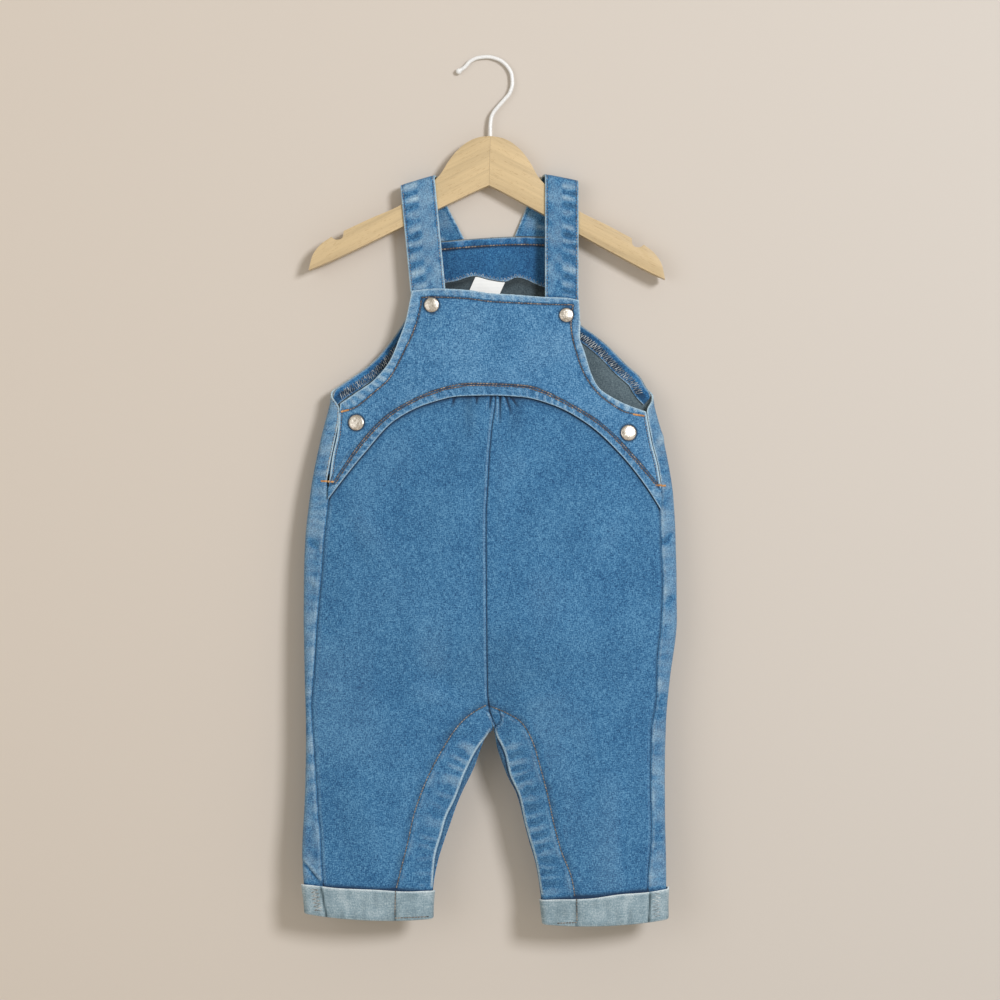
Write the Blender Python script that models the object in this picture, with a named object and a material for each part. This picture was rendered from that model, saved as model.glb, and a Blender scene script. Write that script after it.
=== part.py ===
"""Kids' denim dungarees, snapped shut and hanging flat on a wooden hanger with a wire hook.

Tables and sizes are in millimetres, and meshes are written in metres. +Z is up, the front
faces -Y and +X is the viewer's right. The origin is the underside of the hook's top bend,
where a nail or a rail carries everything.

The garment is a flattened tube. Its cloth is measured from the fold at each side: u is the
distance along the cloth from the fold, positive on the front sheet and negative on the back
sheet. Every panel is a grid of such points, given a wall on both sides of it.
"""

import math

import bpy
import numpy as np

MM = 0.001

# Cloth and seams
DENIM = 1.4              # wall of a single denim panel
FACING = 1.2             # wall of a facing
CUFF_WALL = 1.8          # wall of a turned-up cuff, two layers of cloth
STRAP_WALL = 2.2         # wall of a strap, two layers of cloth
LABEL_WALL = 1.0
GAP = 0.3                # between pieces that touch
FOLD = 3.5               # radius of the cloth's middle at the side folds and inseams
QUARTER = FOLD * math.pi / 2
ON_TOP = DENIM + GAP     # lift of one denim layer that lies on another
INSIDE = -(DENIM / 2 + GAP + FACING / 2)     # lift of a facing inside the back

# Fold lines of the tube, seen from the front:  z, left x, right x.
# Above the armholes (z over -285) the rows only carry the lines on for the back and the bib.
OUTLINE = [
    (-152.5, -119.7, 128.8), (-194.7, -124.0, 133.1), (-236.8, -127.3, 137.3),
    (-287.4, -132.4, 140.6), (-321.1, -140.8, 149.1), (-371.6, -150.1, 157.5),
    (-422.2, -154.3, 159.6), (-472.8, -154.3, 159.6), (-523.3, -153.9, 154.1),
    (-565.5, -153.0, 150.8), (-616.0, -153.5, 149.9), (-666.6, -156.0, 150.8),
    (-729.8, -151.9, 151.6),
]
# Depth of the body:  z, plane of the side folds y, swell of the front, swell of the back
BODY_DEPTH = [
    (-150.0, -0.5, 6.0, 5.4), (-200.0, -0.2, 6.9, 6.0), (-290.0, 1.0, 12.0, 7.0),
    (-370.0, 2.0, 17.0, 8.0), (-470.0, 3.0, 19.0, 8.0), (-565.0, 4.0, 13.0, 7.0),
    (-730.0, 5.0, 6.0, 5.0),
]
# Depth of a leg:  z, swell of the front, swell of the back
LEG_DEPTH = [(-470.0, 10.0, 5.0), (-565.0, 9.0, 5.0), (-620.0, 8.0, 5.0), (-730.0, 5.0, 4.0)]

# Centre front and centre back seam:  z, x
CENTRE = [
    (-150.0, 4.1), (-286.5, 7.1), (-310.1, 4.1), (-333.7, 2.0), (-364.9, 0.3), (-388.5, -0.9),
    (-455.9, -0.5), (-531.7, 0.3), (-545.2, 1.4), (-552.8, 3.3), (-564.6, 5.4),
]
CROTCH = -564.6          # z of the apex between the legs
CROTCH_EASE = 5.0        # height over which the centre seam opens to the inseams' clearance
LEGS_PART = 95.0         # height above the crotch over which the body's swell becomes the legs'
# Inseams:  z, left leg x, right leg x
INSEAM = [
    (-564.6, 5.4, 5.4), (-570.0, 0.0, 6.6), (-578.9, -4.2, 7.8), (-594.9, -9.7, 12.9),
    (-606.0, -14.6, 17.2), (-618.5, -20.6, 23.7), (-632.9, -26.6, 28.3), (-645.0, -30.8, 31.2),
    (-658.1, -35.4, 34.6), (-676.7, -41.4, 40.4), (-695.2, -45.0, 43.9), (-708.7, -46.2, 45.6),
    (-731.5, -46.9, 48.2),
]
# Edge of the back panels, from the back bib's top corner down the armhole, over the side fold
# and down the side seam on the front:  z, inward distance from the fold (negative on the front)
BACK_EDGE_LEFT = [
    (-153.4, 62.2), (-214.9, 57.2), (-228.4, 50.7), (-243.5, 40.9), (-256.5, 30.0),
    (-268.0, 15.2), (-277.2, 2.8), (-284.8, -1.0), (-295.4, -9.3), (-316.9, -12.2),
    (-354.8, -12.3), (-371.6, -16.3), (-422.2, -15.2), (-465.2, -11.4), (-519.1, -7.2),
    (-546.1, -4.6), (-583.1, -6.7), (-624.4, -10.1), (-666.6, -15.7), (-729.8, -16.6),
]
BACK_EDGE_RIGHT = [
    (-150.0, 69.9), (-221.6, 57.3), (-231.7, 45.5), (-242.3, 33.7), (-256.5, 20.6),
    (-268.0, 8.8), (-277.2, 3.9), (-287.4, -1.0), (-297.5, -7.6), (-323.6, -9.5),
    (-343.0, -7.2), (-357.3, -6.6), (-380.1, -11.7), (-410.4, -12.3), (-440.7, -11.0),
    (-493.8, -12.9), (-538.5, -9.3), (-566.3, -11.5), (-601.7, -11.3), (-643.0, -11.0),
    (-699.5, -15.2), (-729.8, -15.6),
]
# Top edge of the back bib:  x, z
BACK_TOP = [(-53.2, -153.8), (-37.2, -153.1), (-19.5, -151.4), (27.7, -149.0), (58.9, -150.0)]

# Outer edge of the bib and yoke, as five runs from one side seam to the other:  x, z
SIDE_LEFT = [(-132.6, -358.0), (-129.6, -335.0), (-125.6, -316.0), (-124.0, -299.2),
             (-123.1, -290.7)]
ARMHOLE_LEFT = [(-123.1, -290.7), (-108.8, -281.0), (-95.7, -271.9), (-81.6, -255.2),
                (-73.8, -237.1), (-67.5, -219.1), (-65.0, -206.5), (-62.9, -196.2)]
BIB_TOP = [(-62.9, -196.2), (-43.1, -194.5), (-16.9, -195.7), (4.1, -198.6), (23.5, -199.7),
           (49.3, -201.6), (67.0, -202.2), (77.0, -204.0)]
ARMHOLE_RIGHT = [(77.0, -204.0), (77.9, -220.4), (77.2, -233.4), (81.7, -247.5),
                 (86.9, -264.6), (93.4, -277.2), (103.6, -284.8), (116.5, -291.3),
                 (133.5, -297.5)]
SIDE_RIGHT = [(133.5, -297.5), (138.3, -323.6), (143.2, -343.0), (146.2, -361.0)]
# Lower edge of the yoke, an arch over the belly:  x, z
ARCH = [
    (-132.9, -370.7), (-122.5, -357.0), (-102.1, -332.0), (-77.6, -305.5), (-49.8, -291.2),
    (-22.0, -284.8), (2.4, -284.2), (29.0, -285.5), (55.5, -292.4), (84.2, -308.1),
    (112.8, -334.6), (134.0, -361.5), (145.6, -379.6),
]
# Places along the arch, 0 to 1, that face the ends of the five runs
ARCH_STATIONS = [0.0, 0.135, 0.32, 0.665, 0.875, 1.0]
LAP = 8.0                # height of the leg panels hidden under the yoke's lower edge
LAP_FLAT, LAP_RISE = 1.5, 5.5                # past the lap: still lifted, and down on the body
# Small gathers under the arch:  x, depth, length below the arch
GATHERS = [
    (-27.3, 1.2, 13.0), (-8.8, 1.3, 15.0), (11.2, 1.5, 20.0), (16.8, 1.3, 17.0),
    (21.4, 1.1, 11.0), (-17.5, 0.7, 9.0), (34.0, 0.7, 9.0),
]
GATHER_WIDTH = 2.4

# Cuffs:  leg, top edge z at the side and at the inseam, bottom edge z at the side and inseam
CUFFS = [("left", -695.8, -701.0, -720.5, -724.6), ("right", -698.6, -707.9, -725.1, -729.4)]
CUFF_DIP = 2.5           # how far the middle of a cuff's bottom edge hangs below its ends
CUFF_MIDDLE = -712.0     # height at which the places round a cuff are spaced

# Facing inside the back bib, lower edge:  x, z
NECK_FACING_FOOT = [(-58.0, -191.0), (-28.7, -187.1), (-10.2, -182.5), (2.4, -185.4),
                    (15.1, -187.1), (25.2, -183.7), (47.1, -191.3), (62.0, -194.0)]
FACING_MARGIN = 0.8      # from the back's edges to the neck facing's
ARMHOLE_FACING = 12.5    # width of the armhole facings
# Underlaps of the side vents: hidden inside the back's edge, reach under the yoke, least u
UNDERLAP_HIDDEN, UNDERLAP_REACH, UNDERLAP_START = 5.0, 21.0, 7.0

# Straps:  side, top middle x, z, tilt of the fold line, half the angle between its two legs,
#          width, z where it ends behind the bib, sideways drift of the leg behind
STRAPS = [
    ("left", -57.8, -102.2, 16.5, 11.0, 29.4, -229.0, -4.5),
    ("right", 61.9, -99.9, 11.0, 11.0, 28.2, -237.0, -2.7),
]
STRAP_EASE = 20.0        # length over which the leg behind drifts
STRAP_CORNER = 4.4       # radius of the strap's middle where it bends over the hanger
STRAP_LAND = 3.0         # half of its flat stretch on top of the hanger
STRAP_TO_BIB = (-135.0, -192.0)              # heights between which it swings to the bib
STRAP_TO_BACK = (-120.0, -149.0)             # heights between which it swings to the back

# Snap caps:  name, x, z, radius
SNAPS = [
    ("snap_bib_left", -46.4, -208.1, 6.3), ("snap_bib_right", 66.5, -216.6, 6.0),
    ("snap_side_left", -109.6, -306.7, 6.7), ("snap_side_right", 118.7, -315.2, 6.7),
]
SNAP_HEIGHT = 2.2
# Outline of a cap:  share of its radius, share of its height
SNAP_PROFILE = [(0.93, 0.0), (1.0, 0.28), (0.95, 0.55), (0.72, 0.8), (0.4, 0.95)]
SNAP_SIDES = 20

# Blank label, sewn to the lower edge of the neck facing
LABEL_LEFT, LABEL_RIGHT = -9.9, 15.1
LABEL_SLANT = -0.45      # sideways per mm of height
LABEL_LEAN = 0.12        # forwards per mm of height
LABEL_HEIGHT = 20.0

# Hanger, in its own frame: origin at the apex, x outwards along one arm, z up
HANGER_THICK = 12.0
HANGER_ROUND = 3.0       # rounding of the arms' long edges
HANGER_APEX = (2.7, -65.9)
HANGER_TURN = -1.45      # degrees, as it hangs
ARM_TOP = [
    (0.0, 0.0), (7.6, -0.8), (14.6, -3.1), (21.6, -7.4), (27.6, -12.9), (34.4, -21.9),
    (41.0, -33.0), (46.5, -39.0), (54.0, -45.6), (64.0, -52.8), (74.6, -60.3), (100.0, -72.3),
    (121.0, -82.8),
]
ARM_NOTCH = [(121.6, -87.6), (124.2, -90.0), (127.6, -90.3), (131.3, -88.0)]
ARM_END = [(140.6, -95.1), (146.8, -104.3), (149.8, -116.4)]
ARM_FOOT = [(139.0, -111.8), (110.0, -97.6), (80.5, -82.4), (27.3, -54.6), (7.5, -44.6),
            (0.0, -41.3)]

# Hook: centre line of the wire from its tip to its foot in the hanger:  x, z
WIRE = 1.6               # radius
TIP_BALL = 2.5           # radius
HOOK_ROUTE = [
    (-23.9, -10.6), (-19.5, -7.6), (-13.6, -1.8), (-7.1, 0.9), (0.6, 1.6), (8.8, -0.3),
    (16.6, -5.9), (20.7, -13.5), (21.3, -20.6), (19.0, -28.9), (14.7, -34.2), (9.4, -40.2),
    (5.3, -45.5), (3.3, -50.8), (2.7, -57.9), (2.7, -66.1), (2.25, -84.0),
]
HOOK_BORE_DEPTH = 19.5
HOOK_BORE_ABOVE = 4.0    # height of the bore's cutter above the arms
BORE_CLEARANCE = 0.4
HOOK_SIDES, HOOK_RINGS = 10, 46

# Rows and columns of the panels' grids
NEAR_INSEAM = [0.0, 0.47, 1.75, 3.5]         # from the inner edge
GATHERED = [6.0, 8.5, 11.0, 13.5, 16.0, 19.0, 22.5, 26.5, 31.0, 36.0]
ROUND_FOLD = [-6.2, -3.6, -1.2, 1.2, 3.6, 6.2]
FOLD_STEP = 2.4          # least spacing of the columns between the fold and the back's edge
LEG_COLUMNS = 6          # on the front, from the gathers to the side seam
BACK_COLUMNS = 6         # on the back, from the inner edge to the fold
UNDER_ARCH = [0.0, 0.067, 0.1, 0.14, 0.19, 0.27, 0.42, 0.67]
LEG_ROWS = [
    -395, -435, -480, -520, -546, -557, -562.0, -564.0, CROTCH, -566.8, -572, -582, -597,
    -620, -648, -676, -702,
]
BACK_ROWS = [-172, -195, -215, -229, -243, -250, -256.5, -262, -268, -273, -277, -281,
             -285, -290, -297, -316, -340, -357, -372]
BACK_FIRST, BACK_LAST = -152.0, -724.0       # rows that follow the top edge and the hem
BIB_COLUMNS = [3, 6, 8, 6, 3]                # along each of its five runs
BIB_ROWS = 7
BIB_LAP_ROW = 5          # first row that lies on the leg panels
ARMHOLE_ROWS = [-197, -208, -220, -231, -241, -250, -258, -264, -269, -273, -275.5]
ARMHOLE_COLUMNS = [0.9, 4.8, 8.7, ARMHOLE_FACING]
UNDERLAP_ROWS = [-300, -313, -326, -339, -350]
CUFF_ROWS = [0.0, 0.35, 0.7, 1.0]
SIDE_OF_CUFF = [0.0, 2.0, 4.2, 7.0]          # from the side fold
CUFF_COLUMNS = 8

# Colours
DENIM_BLUE = (0.07, 0.19, 0.36)
WRONG_SIDE = (0.36, 0.46, 0.53)
LABEL_WHITE = (0.9, 0.9, 0.88)
NICKEL = (0.62, 0.6, 0.57)
WOOD = (0.78, 0.6, 0.38)
WIRE_WHITE = (0.92, 0.92, 0.9)


# ---------------------------------------------------------------- numbers and curves

def smooth(rows, column=1, key=0):
    """Smooth curve without overshoot through one column of a table."""
    table = sorted((row[key], row[column]) for row in rows)
    xs = np.array([pair[0] for pair in table])
    ys = np.array([pair[1] for pair in table])
    steps = np.diff(xs)
    rises = np.diff(ys) / steps
    slopes = np.zeros(len(xs))
    slopes[0], slopes[-1] = rises[0], rises[-1]
    for i in range(1, len(xs) - 1):
        if rises[i - 1] * rises[i] > 0:
            before = 2 * steps[i] + steps[i - 1]
            after = steps[i] + 2 * steps[i - 1]
            slopes[i] = (before + after) / (before / rises[i - 1] + after / rises[i])

    def at(x):
        x = np.clip(x, xs[0], xs[-1])
        i = np.clip(np.searchsorted(xs, x, side="right") - 1, 0, len(steps) - 1)
        t = (x - xs[i]) / steps[i]
        return (ys[i] * (1 + 2 * t) * (1 - t) ** 2 + ys[i + 1] * t * t * (3 - 2 * t)
                + slopes[i] * steps[i] * t * (1 - t) ** 2
                - slopes[i + 1] * steps[i] * t * t * (1 - t))
    return at


def route(points):
    """Smooth path through points, as a function of 0 to 1 along it."""
    lengths = [0.0]
    for a, b in zip(points, points[1:]):
        lengths.append(lengths[-1] + math.dist(a, b))
    rows = [(length / lengths[-1],) + tuple(p) for length, p in zip(lengths, points)]
    curves = [smooth(rows, column) for column in range(1, len(rows[0]))]
    return lambda t: np.array([curve(t) for curve in curves])


def ramp(x, low, high):
    """0 at low, 1 at high, with soft ends."""
    t = np.clip((x - low) / (high - low), 0.0, 1.0)
    return t * t * (3 - 2 * t)


SIDES = {"left": -1, "right": 1}
fold_x = {"left": smooth(OUTLINE, 1), "right": smooth(OUTLINE, 2)}
fold_y = smooth(BODY_DEPTH, 1)
body_swell = {"front": smooth(BODY_DEPTH, 2), "back": smooth(BODY_DEPTH, 3)}
leg_swell = {"front": smooth(LEG_DEPTH, 1), "back": smooth(LEG_DEPTH, 2)}
centre_x = smooth(CENTRE)
inseam_x = {"left": smooth(INSEAM, 1), "right": smooth(INSEAM, 2)}
back_top = smooth(BACK_TOP)
arch_z = smooth(ARCH)
facing_foot = smooth(NECK_FACING_FOOT)


# ---------------------------------------------------------------- the cloth's surface

def tip_x(side, z):
    """Middle of the cloth at the side fold."""
    return fold_x[side](z) - SIDES[side] * DENIM / 2


def inner_x(side, z):
    """Middle of the cloth at the centre seam, or at the inseam below the crotch."""
    clear = GAP / 2 + DENIM / 2 * ramp(z, CROTCH + CROTCH_EASE, CROTCH)
    if z > CROTCH:
        return centre_x(z) + SIDES[side] * clear
    return inseam_x[side](z) + SIDES[side] * clear


def half_depth(side, sheet, x, z):
    """Distance of a sheet from the plane of the side folds."""
    left, right = tip_x("left", z), tip_x("right", z)
    across = np.clip((x - left) / (right - left), 0, 1)
    body = body_swell[sheet](z) * 4 * across * (1 - across)
    inner, outer = inner_x(side, z), tip_x(side, z)
    along = np.clip((x - inner) / (outer - inner), 0, 1)
    leg = leg_swell[sheet](z) * 4 * along * (1 - along)
    legs = ramp(z, CROTCH + LEGS_PART, CROTCH)
    outside = abs(outer - x)
    inside = math.hypot(abs(x - inner), max(z - CROTCH, 0.0))
    edge = 1.0
    for distance in (outside, inside):
        if distance < FOLD:
            edge *= math.sqrt(max(1 - (1 - distance / FOLD) ** 2, 0.0))
    return FOLD * edge + (1 - legs) * body + legs * leg


def front_point(x, z, side=None):
    side = side or ("left" if x < centre_x(z) else "right")
    return np.array([x, fold_y(z) - half_depth(side, "front", x, z), z])


def back_point(x, z, side=None):
    side = side or ("left" if x < centre_x(z) else "right")
    return np.array([x, fold_y(z) + half_depth(side, "back", x, z), z])


def cloth_x(side, u, z):
    """Place across, at a distance u round from the side fold."""
    if abs(u) < QUARTER:
        inward = FOLD * (1 - math.cos(u / FOLD))
    else:
        inward = FOLD + abs(u) - QUARTER
    return tip_x(side, z) - SIDES[side] * inward


def cloth_point(side, u, z):
    """Point of the tube at a distance u round from the side fold."""
    x = cloth_x(side, u, z)
    return front_point(x, z, side) if u > 0 else back_point(x, z, side)


def round_from_fold(inward):
    """Distance along the cloth for an inward distance from the fold."""
    if inward < FOLD:
        return FOLD * math.acos(1 - inward / FOLD)
    return inward - FOLD + QUARTER


def edge_curve(rows):
    """Edge of a back panel as a distance along the cloth, over z."""
    return smooth([(z, -math.copysign(round_from_fold(abs(d)), d)) for z, d in rows])


back_edge_u = {"left": edge_curve(BACK_EDGE_LEFT), "right": edge_curve(BACK_EDGE_RIGHT)}


def centre_u(side, z):
    """Distance along the back sheet from the fold to the centre seam or the inseam."""
    return round_from_fold(abs(tip_x(side, z) - inner_x(side, z)))


# ---------------------------------------------------------------- meshes

def normals(grid, face, closed):
    """Unit normals of a grid of points, turned to the front, to the back or outwards."""
    if closed:
        across = np.roll(grid, -1, 1) - np.roll(grid, 1, 1)
    else:
        across = np.gradient(grid, axis=1)
    normal = np.cross(across, np.gradient(grid, axis=0))
    normal /= np.linalg.norm(normal, axis=2, keepdims=True)
    if face == "round":
        away = grid - grid.mean(axis=1, keepdims=True)
        turned = np.sum(normal * away) > 0
    else:
        turned = (normal[..., 1].sum() > 0) == (face == "back")
    return normal if turned else -normal


def add_material(obj, colour, roughness, metallic=0.0):
    material = bpy.data.materials.new(obj.name)
    material.use_nodes = True
    shader = material.node_tree.nodes["Principled BSDF"]
    shader.inputs["Base Color"].default_value = (*colour, 1.0)
    shader.inputs["Roughness"].default_value = roughness
    shader.inputs["Metallic"].default_value = metallic
    obj.data.materials.append(material)


def solid(name, vertices, faces, colour, roughness=0.9, metallic=0.0):
    """Object from points in millimetres, with its faces turned outwards."""
    points = np.asarray(vertices, dtype=float)
    volume = 0.0
    for face in faces:
        for b, c in zip(face[1:], face[2:]):
            volume += np.dot(points[face[0]], np.cross(points[b], points[c]))
    if volume < 0:
        faces = [face[::-1] for face in faces]
    mesh = bpy.data.meshes.new(name)
    mesh.from_pydata([tuple(p) for p in (points * MM).tolist()], [], faces)
    mesh.shade_smooth()
    mesh.set_sharp_from_angle(angle=math.radians(40))
    obj = bpy.data.objects.new(name, mesh)
    bpy.context.collection.objects.link(obj)
    add_material(obj, colour, roughness, metallic)
    return obj


def wall(name, grid, thick, colour, lift=0.0, face="front", closed=False, beyond=()):
    """Closed cloth wall around rows and columns of middle points, moved out by lift.

    beyond holds the cloth's next point past the first, and past the last, column of each row.
    """
    grid = np.asarray(grid, dtype=float)
    rows, columns = grid.shape[:2]
    wider = [np.asarray(beyond[0])[:, None]] if beyond else []
    wider += [grid] + [np.asarray(after)[:, None] for after in beyond[1:]]
    normal = normals(np.concatenate(wider, axis=1), face, closed)
    if beyond:
        normal = normal[:, 1:columns + 1]
    lift = np.broadcast_to(lift, (rows, columns))[..., None]
    outer = grid + normal * (lift + thick / 2)
    inner = grid + normal * (lift - thick / 2)
    vertices = np.concatenate([outer.reshape(-1, 3), inner.reshape(-1, 3)])
    back = rows * columns
    spans = columns if closed else columns - 1

    def at(row, column):
        return row * columns + column % columns

    def rim(a, b):
        return [(a, b, back + b), (a, back + b, back + a)]

    faces = []
    for row in range(rows - 1):
        for column in range(spans):
            a, b = at(row, column), at(row, column + 1)
            c, d = at(row + 1, column), at(row + 1, column + 1)
            faces += [(a, d, b), (a, c, d)]
            faces += [(back + a, back + b, back + d), (back + a, back + d, back + c)]
    for column in range(spans):
        faces += rim(at(0, column), at(0, column + 1))
        faces += rim(at(rows - 1, column + 1), at(rows - 1, column))
    if not closed:
        for row in range(rows - 1):
            faces += rim(at(row + 1, 0), at(row, 0))
            faces += rim(at(row, columns - 1), at(row + 1, columns - 1))
    return solid(name, vertices, faces, colour)


# ---------------------------------------------------------------- garment panels

def seam_x(side, z):
    """Side seam, and above it the free edge of the back panel."""
    return cloth_x(side, back_edge_u[side](z), z)


def cuff_edges(side, x):
    """Heights of a cuff's top and bottom edge at a place across the leg."""
    _, top_side, top_seam, foot_side, foot_seam = CUFFS[0 if side == "left" else 1]
    outer, inner = tip_x(side, foot_side), inner_x(side, foot_side)
    across = min(max((x - outer) / (inner - outer), 0.0), 1.0)
    dip = CUFF_DIP * 4 * across * (1 - across)
    top = top_side + (top_seam - top_side) * across
    return top, foot_side + (foot_seam - foot_side) * across - dip


def hem_z(side, x):
    """Lower end of the leg's cloth inside its cuff."""
    return cuff_edges(side, x)[1] + CUFF_WALL


def gather(x, z):
    """Depth of the gathers at a point of the leg panels."""
    below = max(arch_z(x) - z, 0.0)
    total = 0.0
    for middle, depth, length in GATHERS:
        fade = max(1 - below / length, 0.0)
        total += depth * fade * math.exp(-((x - middle) / GATHER_WIDTH) ** 2)
    return total


def lap_z(x):
    """Upper edge of the leg panels, hidden under the yoke."""
    ends = abs(2 * (x - ARCH[0][0]) / (ARCH[-1][0] - ARCH[0][0]) - 1)
    return arch_z(x) + LAP * (1 - 0.6 * ramp(ends, 0.75, 1.0))


def past_inner(side, sheet, z):
    """Cloth just past a panel's inner edge, on the next panel."""
    same = {"front": front_point, "back": back_point}
    other = {"front": back_point, "back": front_point}
    step = SIDES[side] * NEAR_INSEAM[1]
    if z > CROTCH:
        return same[sheet](inner_x(side, z) - step, z)
    return other[sheet](inner_x(side, z) + step, z, side)


def front_leg(side):
    """Front panel of one leg, from under the yoke's arch to the hem."""
    offsets = NEAR_INSEAM + GATHERED

    def column_x(column, z):
        inner = inner_x(side, z)
        outer = seam_x(side, z) - SIDES[side] * GAP / 2
        if column < len(offsets):
            return inner + SIDES[side] * offsets[column]
        t = (column - len(offsets) + 1) / LEG_COLUMNS
        start = inner + SIDES[side] * offsets[-1]
        return start + (outer - start) * t

    def settle(column, height):
        z = LEG_ROWS[0]
        for _ in range(10):
            z = height(column_x(column, z))
        return z

    grid = []
    columns = range(len(offsets) + LEG_COLUMNS)
    for t in UNDER_ARCH:
        row = []
        for column in columns:
            top = settle(column, lap_z)
            z = top + (LEG_ROWS[0] - top) * t
            row.append((column_x(column, z), z))
        grid.append(row)
    grid += [[(column_x(column, z), z) for column in columns] for z in LEG_ROWS]
    hem = [settle(column, lambda x: hem_z(side, x)) for column in columns]
    grid.append([(column_x(column, z), z) for column, z in zip(columns, hem)])
    points = []
    for row in grid:
        points.append([])
        for column, (x, z) in enumerate(row):
            point = front_point(x, z, side)
            point[1] += gather(x, z)
            if column == 0:
                point[1] = min(point[1], fold_y(z) - GAP / 2)
            points[-1].append(point)
    inner = [past_inner(side, "front", row[0][2]) for row in points]
    return wall("front_leg_" + side, points, DENIM, DENIM_BLUE, beyond=(inner,))


def back_u(side, z):
    """Columns of the back panel at one height, from the centre or inseam to its edge."""
    inner = -centre_u(side, z)
    edge = back_edge_u[side](z) - GAP / 2
    count = len(ROUND_FOLD)
    folded = [min(u, edge - FOLD_STEP * (count - i)) for i, u in enumerate(ROUND_FOLD)]
    start = inner + NEAR_INSEAM[-1]
    middle = list(np.linspace(start, folded[0], BACK_COLUMNS + 1)[1:-1])
    return [inner + offset for offset in NEAR_INSEAM] + middle + folded + [edge]


def back_panel(side):
    """Back panel, from the back bib's top edge to the hem, wrapped round to the side seam."""
    points = []
    for level in [BACK_FIRST] + BACK_ROWS + LEG_ROWS + [BACK_LAST]:
        points.append([])
        for column, u in enumerate(back_u(side, level)):
            z = level
            point = cloth_point(side, u, z)
            if level == BACK_FIRST:
                z = float(back_top(point[0]))
            if level == BACK_LAST:
                z = hem_z(side, point[0])
            u = back_u(side, z)[column]
            point = cloth_point(side, u, z)
            if column == 0:
                point[1] = max(point[1], fold_y(z) + GAP / 2)
            points[-1].append(point)
    inner = [past_inner(side, "back", row[0][2]) for row in points]
    outer = [cloth_point(side, back_u(side, row[-1][2])[-1] + ON_TOP, row[-1][2])
             for row in points]
    return wall("back_" + side, points, DENIM, DENIM_BLUE, face="back", beyond=(inner, outer))


def front_bib():
    """Bib and yoke: columns run from its outer edge to the arch over the belly."""
    runs = [SIDE_LEFT, ARMHOLE_LEFT, BIB_TOP, ARMHOLE_RIGHT, SIDE_RIGHT]
    arch = route(ARCH)
    columns = []
    for index, (run, count) in enumerate(zip(runs, BIB_COLUMNS)):
        edge = route(run)
        low, high = ARCH_STATIONS[index:index + 2]
        last = index == len(runs) - 1
        for t in np.linspace(0, 1, count + 1)[:None if last else -1]:
            columns.append((edge(t), arch(low + (high - low) * t)))
    points = []
    lift = []
    for row in range(BIB_ROWS):
        points.append([])
        lift.append([])
        for outer, inner in columns:
            length = np.linalg.norm(outer - inner)
            lapped = min(LAP + LAP_FLAT, 0.55 * length)
            clear = min(LAP + LAP_RISE, 0.8 * length)
            if row < BIB_LAP_ROW:
                reach = length + (clear - length) * row / (BIB_LAP_ROW - 1)
            else:
                reach = lapped * (BIB_ROWS - 1 - row)
            x, z = inner + (outer - inner) * reach / length
            points[-1].append(front_point(x, z))
            lift[-1].append(ON_TOP if row >= BIB_LAP_ROW else 0.0)
    return wall("front_bib", points, DENIM, DENIM_BLUE, lift)


def cuff(side):
    """Turned-up cuff, a closed band round the end of one leg."""
    points = []
    seam = centre_u(side, CUFF_MIDDLE)
    front = SIDE_OF_CUFF + list(
        np.linspace(SIDE_OF_CUFF[-1], seam - NEAR_INSEAM[-1], CUFF_COLUMNS)[1:])
    front += [seam - offset for offset in NEAR_INSEAM[-2::-1]]
    for t in CUFF_ROWS:
        ring = []
        for u in front + [-u for u in front[-2:0:-1]]:
            across = cloth_point(side, u, CUFF_MIDDLE)[0]
            top, foot = cuff_edges(side, across)
            z = top + (foot - top) * t
            ring.append(cloth_point(side, u * centre_u(side, z) / seam, z))
        points.append(ring)
    lift = DENIM / 2 + GAP + CUFF_WALL / 2
    return wall("cuff_" + side, points, CUFF_WALL, WRONG_SIDE, lift, "round", closed=True)


def neck_facing():
    """Facing inside the top of the back bib."""
    points = []
    for t in (0.0, 0.2, 0.6, 1.0):
        row = []
        for across in np.linspace(0, 1, 21):
            x = 0.0
            for _ in range(6):
                top = back_top(x) - FACING_MARGIN
                z = top + (facing_foot(x) - top) * t
                left = seam_x("left", z) + FACING_MARGIN
                x = left + (seam_x("right", z) - FACING_MARGIN - left) * across
            row.append(back_point(x, z))
        points.append(row)
    return wall("neck_facing", points, FACING, DENIM_BLUE, INSIDE, "back")


def armhole_facing(side):
    """Facing inside the back's armhole edge, a band of even width."""
    points = []
    for z in ARMHOLE_ROWS:
        u = back_edge_u[side](z)
        slope = (back_edge_u[side](z + 0.5) - back_edge_u[side](z - 0.5))
        length = math.hypot(1.0, slope)
        row = []
        for inward in ARMHOLE_COLUMNS:
            row.append(cloth_point(side, u - inward / length, z + inward * slope / length))
        points.append(row)
    return wall("armhole_facing_" + side, points, FACING, DENIM_BLUE, INSIDE, "back")


def side_underlap(side):
    """Underlap of a side vent, inside the back's front edge and under the yoke."""
    points = []
    for z in UNDERLAP_ROWS:
        edge = back_edge_u[side](z)
        start = max(edge - UNDERLAP_HIDDEN, UNDERLAP_START)
        reaches = np.linspace(start, edge + UNDERLAP_REACH, 5)
        points.append([cloth_point(side, reach, z) for reach in reaches])
    return wall("side_underlap_" + side, points, DENIM, DENIM_BLUE, -ON_TOP)


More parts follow.
